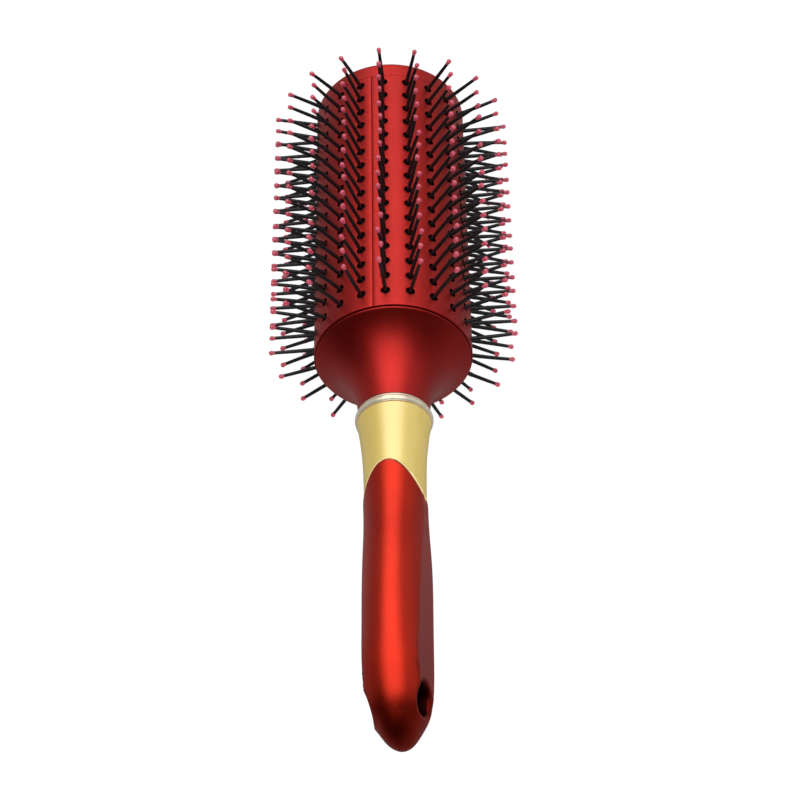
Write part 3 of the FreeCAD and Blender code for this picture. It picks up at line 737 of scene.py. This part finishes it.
def pin_strip(number):
    b = Build()
    theta = (number - 0.5) * STRIP_STEP
    n, half_pitch = 4, PIN_PITCH / 2
    wide, flat = RAIL_HALF_WIDTH, RAIL_HALF_WIDTH - RAIL_CHAMFER
    profile = list(PIN_FOOT)
    for height in np.linspace(24.9, PIN_END, 13):
        part = (height - TAPER_START) / (PIN_END - TAPER_START)
        profile.append((ROOT_RADIUS + (END_RADIUS - ROOT_RADIUS) * part, height))
    for k in range(PIN_ROWS):
        y, bend = FIRST_PIN_Y - PIN_PITCH * k, BENDS[number - 1, k]
        up = RAIL_CAP_END if k == 0 else half_pitch
        down = RAIL_HANDLE_END if k == PIN_ROWS - 1 else half_pitch
        line = rect_outline(-flat, flat, -down, up, n)
        angles = np.arctan2(line[:, 1], line[:, 0])
        rows = [local(theta, line[:, 0], y + line[:, 1], RAIL_TOP)]
        rows += pin_rows(theta, y, bend, profile, angles)
        ids = b.grid(rows, wrap=True)
        b.disc(ids[-1], pin_axis(theta, y, bend, PIN_END))

    # rail: sides and underside, then both ends
    last = FIRST_PIN_Y - PIN_PITCH * (PIN_ROWS - 1)
    first_span, last_span = RAIL_CAP_END + half_pitch, RAIL_HANDLE_END + half_pitch
    stations = [FIRST_PIN_Y + RAIL_CAP_END - first_span * j / n for j in range(n)]
    stations += [FIRST_PIN_Y - half_pitch - PIN_PITCH * j / n for j in range(n * (PIN_ROWS - 2))]
    stations += [last + half_pitch - last_span * j / n for j in range(n + 1)]
    side = [
        (flat, RAIL_TOP), (wide, RAIL_TOP - RAIL_CHAMFER),
        (wide, RAIL_LOW + RAIL_CHAMFER), (flat, RAIL_LOW),
    ]
    across, height = np.array(side + [(-a, h) for a, h in side[::-1]]).T
    ids = b.grid([local(theta, across, y, height) for y in stations])
    for row, y in ((ids[0], stations[0]), (ids[-1], stations[-1])):
        top_across = -flat + 2 * flat * (np.arange(1, n) / n)
        top = b.points(local(theta, top_across, y, RAIL_TOP))
        b.disc(np.concatenate([row, top]), local(theta, 0.0, y, 21.6))
    node = "pin_strip_%02d" % number
    return b.piece("pins_%02d" % number, NYLON, "pin_black", node, sharp=50)


def pin_tips(number):
    """Ball tips of one strip, each with a short sleeve round its pin."""
    b = Build()
    theta = (number - 0.5) * STRIP_STEP
    angles = np.arange(20) * 2 * math.pi / 20
    for k in range(PIN_ROWS):
        y, bend = FIRST_PIN_Y - PIN_PITCH * k, BENDS[number - 1, k]
        radius = BALL_RADIUS * (1.0 + random.normal(0, 0.022))
        profile = [(SLEEVE_RADIUS + extra, height) for extra, height in SLEEVE]
        neck_angle = math.asin(0.60 / radius)
        for q in np.linspace(math.pi - neck_angle, 0.0, 12)[:-1]:
            profile.append((radius * math.sin(q), BALL_HEIGHT + radius * math.cos(q)))
        ids = b.grid(pin_rows(theta, y, bend, profile, angles), wrap=True)
        b.disc(ids[-1], pin_axis(theta, y, bend, BALL_HEIGHT + radius))
        b.disc(ids[0], pin_axis(theta, y, bend, PIN_END), flip=True)
    node = "pin_tips_%02d" % number
    return b.piece("ball_tips_%02d" % number, BEAD, "tip_pink", node, sharp=60)


# ------------------------------------------------------------------ handle sections
# Sections of the handle: distance from the shells' end, half width, reach to +Z, reach to -Z.
GRIP_TABLE = np.array([
    (44.0, 9.62, 9.85, 9.95),
    (50.0, 9.45, 9.75, 10.0),
    (57.0, 9.30, 9.80, 10.5),
    (66.0, 9.30, 10.28, 12.12),
    (78.0, 9.78, 11.33, 13.47),
    (92.0, 10.0, 12.65, 13.46),
    (106.0, 10.18, 13.25, 12.80),
    (117.6, 10.27, 12.95, 11.75),
    (123.9, 9.50, 11.30, 11.05),
    (128.2, 8.38, 9.40, 10.45),
    (131.5, 6.42, 7.15, 9.60),
    (134.1, 4.80, 4.75, 8.20),
    (135.8, 3.34, 2.40, 6.65),
    (136.8, 1.85, 0.45, 5.05),
    (137.25, 0.80, -1.30, 3.55),
])
CORE_TABLE = np.array([
    (26.4, 11.15, 11.17, 11.17),
    (28.5, 10.65, 10.67, 10.67),
    (31.5, 10.24, 10.26, 10.26),
    (36.0, 9.75, 9.77, 9.77),
    (42.0, 9.32, 9.40, 9.45),
    (50.0, 9.08, 9.35, 9.6),
    (60.0, 8.95, 9.5, 10.3),
])
SPINE_TABLE = np.array([(60.0, 6.0, 6.6, 6.8), (85.0, 6.0, 7.6, 8.4), (112.0, 5.4, 7.2, 7.0)])
CORE_START, CORE_END = CORE_TABLE[0, 0], CORE_TABLE[-1, 0]
SPINE_STATIONS = (60.0, 72.0, 85.0, 98.0, 112.0)


class Loft:
    """Natural cubic spline through a table of sections, by length along the table."""

    def __init__(self, table):
        steps = np.sqrt((np.diff(table, axis=0) ** 2).sum(1))
        self.knots = np.concatenate([[0], np.cumsum(steps)])
        self.table = table
        count = len(table)
        gap = np.diff(self.knots)
        system, right = np.zeros((count, count)), np.zeros((count, 4))
        system[0, 0] = system[-1, -1] = 1
        for i in range(1, count - 1):
            system[i, i - 1 : i + 2] = gap[i - 1], 2 * (gap[i - 1] + gap[i]), gap[i]
            after = (table[i + 1] - table[i]) / gap[i]
            right[i] = 6 * (after - (table[i] - table[i - 1]) / gap[i - 1])
        self.curve = np.linalg.solve(system, right)
        self.fine = np.linspace(0, self.knots[-1], 4000)
        self.fine_distance = self.at_length(self.fine)[:, 0]

    def at_length(self, length):
        """Sections at one or more lengths, one to a row."""
        s = np.atleast_1d(np.asarray(length, float))
        i = np.clip(np.searchsorted(self.knots, s) - 1, 0, len(self.knots) - 2)
        h = (self.knots[i + 1] - self.knots[i])[:, None]
        u, w = (self.knots[i + 1] - s)[:, None], (s - self.knots[i])[:, None]
        k0, k1, p0, p1 = self.curve[i], self.curve[i + 1], self.table[i], self.table[i + 1]
        bent = k0 * u**3 / (6 * h) + k1 * w**3 / (6 * h)
        return bent + (p0 / h - k0 * h / 6) * u + (p1 / h - k1 * h / 6) * w

    def length_at(self, distance):
        return float(np.interp(distance, self.fine_distance, self.fine))

    def section(self, distance):
        return self.at_length(self.length_at(distance))[0]


GRIP, CORE, SPINE = Loft(GRIP_TABLE), Loft(CORE_TABLE), Loft(SPINE_TABLE)
TILT = math.radians(4.0)  # of the flats on the grip's sides
ARC_STEPS, FLAT_STEPS = 22, 14  # columns on each curved part and on the flat, per half
FLAT_FIRST, FLAT_LAST = ARC_STEPS + 1, ARC_STEPS + 1 + FLAT_STEPS
COLUMNS = 2 * (2 * ARC_STEPS + FLAT_STEPS + 2)
LEAST_FLAT, FLAT_MARGIN = 0.12, 0.035  # radians


def flat_at(distance):
    """Distance of the slightly crowned flats from the handle's middle plane."""
    crown = 4500.0
    return 9.12 - (crown - np.sqrt(crown**2 - (distance - 40.0) ** 2))


def centre_and_height(section):
    """Middle z and half height of a section."""
    _, _, up, down = section
    return (up - down) / 2, (up + down) / 2


def column_angles(section):
    """Angles of the right (+X) half of a grip section, from +Z (0) to -Z (pi)."""
    distance, width, _, _ = section
    centre, height = centre_and_height(section)
    side, rise = width * math.cos(TILT), height * math.sin(TILT)
    middle = math.atan2(side, rise)
    ratio = (float(flat_at(distance)) - math.sin(TILT) * centre) / math.hypot(side, rise)
    half_flat = math.sqrt(math.acos(min(ratio, 1)) ** 2 + LEAST_FLAT**2)
    first, last = middle - half_flat, middle + half_flat
    part = np.linspace(0, 1, ARC_STEPS + 1)
    ease = part + 0.12 * np.sin(math.pi * part) / math.pi
    upper = (first - FLAT_MARGIN) * ease
    lower = last + FLAT_MARGIN + (math.pi - last - FLAT_MARGIN) * part
    return np.concatenate([upper, np.linspace(first, last, FLAT_STEPS + 1), lower])


def oval(section, angles):
    centre, height = centre_and_height(section)
    return section[1] * np.sin(angles), centre + height * np.cos(angles)


def mirrored(x, z):
    """Whole section: the right half from +Z to -Z, then the left half back to +Z."""
    return np.concatenate([x, -x[-2:0:-1]]), np.concatenate([z, z[-2:0:-1]])


def side_limit(distance, z):
    return (float(flat_at(distance)) - z * math.sin(TILT)) / math.cos(TILT)


def grip_ring(section):
    """Oval cut by the side flats, with the edges of the flats softened."""
    x, z = oval(section, column_angles(section))
    x = np.minimum(x, side_limit(section[0], z))
    for i in (FLAT_FIRST, FLAT_LAST):
        for line in (x, z):
            line[i] = 0.5 * line[i] + 0.25 * (line[i - 1] + line[i + 1])
    return mirrored(x, z)


def core_ring(section):
    """Section of the core at the angles of the grip's columns."""
    angles = column_angles(GRIP.section(max(section[0], GRIP_TABLE[0, 0])))
    return mirrored(*oval(section, angles))


def ring_row(ring, distance):
    x, z = ring
    return np.stack([x, np.full(COLUMNS, SHELL_END_Y - distance), z], -1)


def spine_row(distance):
    angles = column_angles(GRIP.section(CORE_END))
    return ring_row(mirrored(*oval(SPINE.section(distance), angles)), distance)


def row_at(loft, ring, distance):
    """Row of points whose distance along the handle may differ by column."""
    distance = np.broadcast_to(distance, COLUMNS)
    x, z = np.zeros(COLUMNS), np.zeros(COLUMNS)
    known = {}
    for j in range(COLUMNS):
        key = round(float(distance[j]), 4)
        if key not in known:
            known[key] = ring(loft.section(key))
        x[j], z[j] = known[key][0][j], known[key][1][j]
    return np.stack([x, SHELL_END_Y - distance, z], -1)


def grip_row(distance):
    return row_at(GRIP, grip_ring, distance)


def core_row(distance):
    return row_at(CORE, core_ring, distance)


def outward(row):
    """Unit vectors square to a row, in the XZ plane."""
    along = np.roll(row, -1, 0) - np.roll(row, 1, 0)
    normal = np.stack([-along[:, 2], 0 * along[:, 0], along[:, 0]], -1)
    normal /= np.linalg.norm(normal, axis=1)[:, None]
    return normal * np.sign(((row - row.mean(0)) * normal).sum(1))[:, None]


def arch_at(x):
    """The arched edge of the grip: distance along the handle at x."""
    return 46.8 + 10.2 * (x / 9.2) ** 2


def arch_line():
    """For every column, where the arched edge crosses it."""
    line = np.full(COLUMNS, 50.0)
    for _ in range(30):
        new = np.array(
            [arch_at(grip_ring(GRIP.section(line[j]))[0][j]) for j in range(COLUMNS)]
        )
        if np.abs(new - line).max() < 1e-4:
            break
        line = 0.5 * line + 0.5 * new
    return line


ARCH = arch_line()
GAP = 0.30  # the fine line between the grip's edge and the gold lip


# ------------------------------------------------------------------ grip
def surface_x(y, z):
    """Half width of the grip at y and z."""
    section = GRIP.section(SHELL_END_Y - y)
    centre, height = centre_and_height(section)
    square = max(1 - ((z - centre) / height) ** 2, 0.0)
    return min(section[1] * math.sqrt(square), side_limit(section[0], z))


def grip_rows():
    """Rows from the bottom of the pocket over the edge to the tip; index of the first even one."""
    rounding, join = 0.42, 74.0
    start = ARCH + GAP
    rows = [core_row(CORE_END + (start - CORE_END) * (i / 8)) for i in range(9)]
    for degrees in (90, 68, 46, 24, 0):
        s, c = sin_cos(degrees)
        distance = start + rounding * (1 - s)
        skin = grip_row(distance)
        gap = np.linalg.norm((skin - core_row(distance))[:, [0, 2]], axis=1)
        depth = np.minimum(rounding * (1 - c), gap * 0.9)
        rows.append(skin - outward(skin) * depth[:, None])
    for i in range(1, 25):
        f = (i / 24) ** 1.15
        rows.append(grip_row(start + rounding + (join - start - rounding) * f))
    first_even = len(rows)
    for length in np.linspace(GRIP.length_at(join), GRIP.knots[-1], 118)[1:]:
        section = GRIP.at_length(length)[0]
        rows.append(ring_row(grip_ring(section), section[0]))
    return np.array(rows), first_even


def hole_mouth(b, ids, points, first_even, side, keep):
    """Rounded mouth of the hang hole on one side (1 for +X, -1 for -X).

    Clears the cells of its window in `keep` and returns the ids of its innermost loop.
    """
    mouth = HOLE_RADIUS + HOLE_ROUNDING
    off_y, off_z = points[..., 1] - HOLE_Y, points[..., 2] - HOLE_Z
    near = (np.abs(off_y) < mouth + 1.2) & (points[first_even, :, 0] * side > 1.0)
    near &= np.abs(off_z) < np.sqrt(np.maximum(mouth**2 - off_y**2, 0.0)) + 0.9
    near[:first_even] = False
    near_rows, near_columns = np.nonzero(near)
    r0, r1 = near_rows.min(), near_rows.max()
    c0, c1 = near_columns.min(), near_columns.max()
    keep[r0:r1, c0:c1] = False
    window = [(r0, j) for j in range(c0, c1)] + [(r, c1) for r in range(r0, r1)]
    window += [(r1, j) for j in range(c1, c0, -1)] + [(r, c0) for r in range(r1, r0, -1)]
    rows, columns = np.array(window).T
    base_y, base_z = points[rows, columns, 1], points[rows, columns, 2]

    # angles round the hole, partly evened out
    turn = np.unwrap(np.arctan2(base_z - HOLE_Z, base_y - HOLE_Y))
    full_turn = np.linspace(0, 2 * math.pi, len(window) + 1)[:-1]
    even = np.sign(turn[-1] - turn[0]) * full_turn
    turn = turn[0] + even * 0.35 + (turn - turn[0]) * 0.65

    def circle(radius):
        return HOLE_Y + radius * np.cos(turn), HOLE_Z + radius * np.sin(turn)

    def skin_x(ys, zs):
        return np.array([surface_x(y, z) for y, z in zip(ys, zs)])

    loops = [ids[rows, columns]]
    mouth_y, mouth_z = circle(mouth)
    for f in (0.3, 0.6, 0.82, 1.0):
        y = base_y + (mouth_y - base_y) * f
        z = base_z + (mouth_z - base_z) * f
        loops.append(b.points(np.stack([side * skin_x(y, z), y, z], -1)))
    mouth_x = skin_x(mouth_y, mouth_z)
    for degrees in (15, 30, 45, 60, 75, 90):
        s, c = sin_cos(degrees)
        y, z = circle(HOLE_RADIUS + HOLE_ROUNDING * (1 - s))
        x = skin_x(y, z) * 0.5 + mouth_x * 0.5 - HOLE_ROUNDING * (1 - c)
        loops.append(b.points(np.stack([side * x, y, z], -1)))
    b.quads(np.array(loops), wrap=True)
    return loops[-1]


def hole_wall(b, right, left):
    """Joins the innermost loops of both mouths, point by point in order of angle."""

    def by_angle(ids):
        places = b.places(ids)
        angle = np.arctan2(places[:, 2] - HOLE_Z, places[:, 1] - HOLE_Y)
        return ids[np.argsort(np.mod(angle, 2 * math.pi))]

    right, left = by_angle(right), by_angle(left)
    start, end = b.places(right), b.places(left)
    between = [b.points(start + (end - start) * f) for f in (0.2, 0.4, 0.6, 0.8)]
    b.quads(np.array([right, *between, left]), wrap=True)


def spine_end():
    distance = SPINE_TABLE[-1, 0]
    return (0, SHELL_END_Y - distance, centre_and_height(SPINE_TABLE[-1])[0])


def grip():
    b = Build()
    points, first_even = grip_rows()
    ids = b.points(points)
    keep = np.ones((len(ids) - 1, COLUMNS), bool)
    right, left = (hole_mouth(b, ids, points, first_even, side, keep) for side in (1, -1))
    hole_wall(b, right, left)
    b.quads(ids, wrap=True, keep=keep)
    tip = GRIP_TABLE[-1]
    b.disc(ids[-1], (0, SHELL_END_Y - tip[0] - 0.06, centre_and_height(tip)[0]))
    # the socket for the spine at the bottom of the pocket
    socket = [ids[0]] + [b.points(spine_row(distance)) for distance in SPINE_STATIONS]
    b.quads(np.array(socket), wrap=True)
    b.disc(socket[-1], spine_end())
    return b.piece("grip", GRIP_RED, "grip_red", "grip_overmould", sharp=38)


# ------------------------------------------------------------------ gold neck
TANG_Y = -118.0
TANG = (  # y, radius, limit of x to either side
    (TANG_Y, 6.6, 6.0), (-118.3, 6.95, 6.0), (-124.1, 6.95, 6.0), (NECK_Y, 6.95, 6.0),
    (NECK_Y, 8.8, math.inf), (NECK_Y - 0.1, 8.9, math.inf), (COLLAR_END_Y, 8.9, math.inf),
)
LIP_WIDTH, LIP_HEIGHT = 0.62, 0.30
LIP_PROFILE = (  # part of the width, part of the height
    (0.15, 0.06), (0.3, 0.75), (0.48, 1.0), (0.68, 1.0), (0.84, 0.78), (0.96, 0.15), (1.0, -0.2),
)


def gold_neck():
    """Tang, neck with a fine raised lip along the grip's edge, and the spine in the grip."""
    b = Build()
    x, z = core_ring(CORE.section(CORE_START))
    theta = np.degrees(np.arctan2(x, z))
    rows = []
    for y, radius, limit in TANG:
        row = polar(theta, y, radius)
        row[:, 0] = np.clip(row[:, 0], -limit, limit)
        rows.append(row)
    # softened edge at the start of the neck: distance past it, scale of the section
    for past, scale in ((0.0, 0.982), (0.08, 0.994), (0.25, 1.0)):
        rows.append(core_row(CORE_START + past) * np.array([scale, 1, scale]))
    neck_start, neck_end = CORE_START + 0.25, ARCH - LIP_WIDTH
    rows += [core_row(neck_start + (neck_end - neck_start) * i / 26) for i in range(1, 27)]
    for f, height in LIP_PROFILE:
        row = core_row(neck_end + LIP_WIDTH * f)
        rows.append(row + outward(row) * LIP_HEIGHT * height)
    covered = ARCH + GAP * 0.4
    rows += [core_row(covered + (CORE_END - covered) * i / 8) for i in range(9)]
    rows += [spine_row(distance) for distance in SPINE_STATIONS]
    ids = b.grid(rows, wrap=True)
    b.disc(ids[0], (0, TANG_Y, 0))
    b.disc(ids[-1], spine_end())
    return b.piece("gold_neck", GOLD, "gold_paint", "handle_core", sharp=50)


# ------------------------------------------------------------------ bands of painted shade and painted highlight
def shade(obj, material, inside):
    """Gives the faces whose centre passes `inside` their own material."""
    obj.data.materials.append(material)
    slot = len(obj.data.materials) - 1
    for face in obj.data.polygons:
        if inside(face.center):
            face.material_index = slot


def arch_shade_and_highlight_band(obj, material, start, end):
    """Gives a band along the grip's arched edge, from `start` to `end` past it, its own material;
    used for the painted highlight on the lip and the painted shade in the groove.
    """

    def inside(centre):
        centre = centre / MM
        distance = SHELL_END_Y - centre.y
        return distance <= 64.0 and start < distance - arch_at(centre.x) < end

    shade(obj, material, inside)


def shade_ends(obj, material, low=-math.inf, high=math.inf):
    """Shades the faces between two places along Y."""
    shade(obj, material, lambda centre: low < centre.y / MM < high)


# ------------------------------------------------------------------ assembly
barrel_shell("shell_right", 0.0, "barrel_shell_right")
barrel_shell("shell_left", 180.0, "barrel_shell_left")
end_cap()
shoulder_piece = shoulder()
collar_piece = collar()
for strip in range(1, STRIPS + 1):
    pin_strip(strip)
    pin_tips(strip)
neck_piece = gold_neck()
# painted highlight along the gold lip; painted shade in the groove on the gold neck and on the
# grip's edge
arch_shade_and_highlight_band(neck_piece, LIP, start=-0.66, end=-0.03)
arch_shade_and_highlight_band(neck_piece, GROOVE, start=-0.03, end=0.9)
arch_shade_and_highlight_band(grip(), GROOVE, start=-1.0, end=GAP + 0.17)
# painted shade at the joints: shoulder to collar, and collar to gold neck
shade_ends(shoulder_piece, JOINT, high=NECK_Y + 0.42)
shade_ends(collar_piece, JOINT, low=NECK_Y - 0.16)
shade_ends(collar_piece, RING_END_SHADE, high=COLLAR_END_Y + 0.17)

# ------------------------------------------------------------------ floor, light, camera
# brightness of the floor: to the camera, in reflections (near the cap end and towards
# the handle) and as bounced light
FLOOR_CAMERA, FLOOR_GLOSSY, FLOOR_DARK, FLOOR_BOUNCE = 1.0, 0.21, 0.012, 1.7
FLOOR_ALBEDO = 0.04
FLOOR_HALF, FLOOR_Z = 6.0, -0.040
WORLD_CAMERA, WORLD_BOUNCE = 1.0, 0.58


def floor_material():
    """Glowing pale floor that is transparent from below."""
    material = bpy.data.materials.new("pale_floor")
    material.use_nodes = True
    k = Nodes(material.node_tree)
    output = k.new("ShaderNodeOutputMaterial")
    diffuse = k.new("ShaderNodeBsdfDiffuse")
    k.feed(diffuse.inputs[0], (FLOOR_ALBEDO, FLOOR_ALBEDO, FLOOR_ALBEDO))
    emission = k.new("ShaderNodeEmission")
    ray = k.new("ShaderNodeLightPath").outputs
    coords = k.new("ShaderNodeTexCoord")
    axes = k.new("ShaderNodeSeparateXYZ")
    k.link(coords.outputs["Object"], axes.inputs[0])
    reflected = (FLOOR_DARK, FLOOR_GLOSSY)
    level = k.span(axes.outputs["Y"], to=reflected, within=(-0.38, -0.06), smooth=True)
    level = k.choose(ray["Is Diffuse Ray"], off=level, on=FLOOR_BOUNCE)
    level = k.choose(ray["Is Camera Ray"], off=level, on=FLOOR_CAMERA)
    k.link(level, emission.inputs["Strength"])
    add = k.new("ShaderNodeAddShader")
    k.link(emission.outputs[0], add.inputs[0])
    k.link(diffuse.outputs[0], add.inputs[1])
    geometry = k.new("ShaderNodeNewGeometry")
    clear = k.new("ShaderNodeBsdfTransparent")
    mix = k.new("ShaderNodeMixShader")
    k.link(geometry.outputs["Backfacing"], mix.inputs[0])
    k.link(add.outputs[0], mix.inputs[1])
    k.link(clear.outputs[0], mix.inputs[2])
    k.link(mix.outputs[0], output.inputs["Surface"])
    return material


def floor():
    mesh = bpy.data.meshes.new("floor")
    corners = [(-1, -1), (1, -1), (1, 1), (-1, 1)]
    points = [(x * FLOOR_HALF, y * FLOOR_HALF, FLOOR_Z) for x, y in corners]
    mesh.from_pydata(points, [], [(0, 1, 2, 3)])
    obj = bpy.data.objects.new("floor", mesh)
    scene.collection.objects.link(obj)
    mesh.materials.append(floor_material())


def softbox(name, at, size, level):
    """Panel of even brightness `level`, facing straight down."""
    light = bpy.data.lights.new(name, "AREA")
    light.shape = "RECTANGLE"
    light.size, light.size_y = size
    light.energy = level * math.pi * size[0] * size[1]
    obj = bpy.data.objects.new(name, light)
    scene.collection.objects.link(obj)
    obj.location = at
    obj.rotation_mode = "QUATERNION"
    obj.rotation_quaternion = Vector((0, 0, -at[2])).to_track_quat("-Z", "Y")
    obj.visible_camera = False


def studio_world():
    """White to the camera; in reflections it darkens to -Y and brightens to +X."""
    world = bpy.data.worlds.new("studio")
    scene.world = world
    world.use_nodes = True
    k = Nodes(world.node_tree)
    output = k.new("ShaderNodeOutputWorld")
    coords = k.new("ShaderNodeTexCoord")
    axes = k.new("ShaderNodeSeparateXYZ")
    k.link(coords.outputs["Generated"], axes.inputs[0])
    x, y = axes.outputs["X"], axes.outputs["Y"]
    room = k.span(y, to=(0.012, 0.23), within=(-0.35, 0.2), smooth=True)
    right = k.span(x, to=(0.0, 0.20), within=(0.3, 0.85), smooth=True)
    fade = k.span(y, to=(0.0, 1.0), within=(-0.7, -0.1), smooth=True)
    level = k.math("ADD", room, k.math("MULTIPLY", right, fade))
    ray = k.new("ShaderNodeLightPath").outputs
    level = k.choose(ray["Is Diffuse Ray"], off=level, on=WORLD_BOUNCE)
    level = k.choose(ray["Is Camera Ray"], off=level, on=WORLD_CAMERA)
    background = k.new("ShaderNodeBackground")
    k.feed(background.inputs[0], (0.98, 0.98, 1.0))
    k.link(level, background.inputs[1])
    k.link(background.outputs[0], output.inputs[0])


def camera():
    data = bpy.data.cameras.new("camera")
    data.lens = 109.98
    data.sensor_width = 36.0
    data.clip_start, data.clip_end = 0.01, 50.0
    obj = bpy.data.objects.new("camera", data)
    scene.collection.objects.link(obj)
    place = Vector((0.132377, -0.602670, 0.530933))
    right = Vector((0.96845638, -0.01203622, -0.24889228))
    up = Vector((0.17264227, 0.75266656, 0.63536422))
    view = Vector((-0.17968551, 0.65829186, -0.73100269))
    turn = Matrix((right, up, -view)).transposed().to_4x4()
    obj.matrix_world = Matrix.Translation(place) @ turn
    scene.camera = obj


floor()
softbox("softbox_core", at=(0.065, 0.025, 0.36), size=(0.34, 0.86), level=0.62)
softbox("softbox_wide", at=(0.085, 0.025, 0.37), size=(0.58, 0.88), level=0.55)
studio_world()
scene.view_settings.view_transform = "Standard"
scene.view_settings.look = "None"
camera()
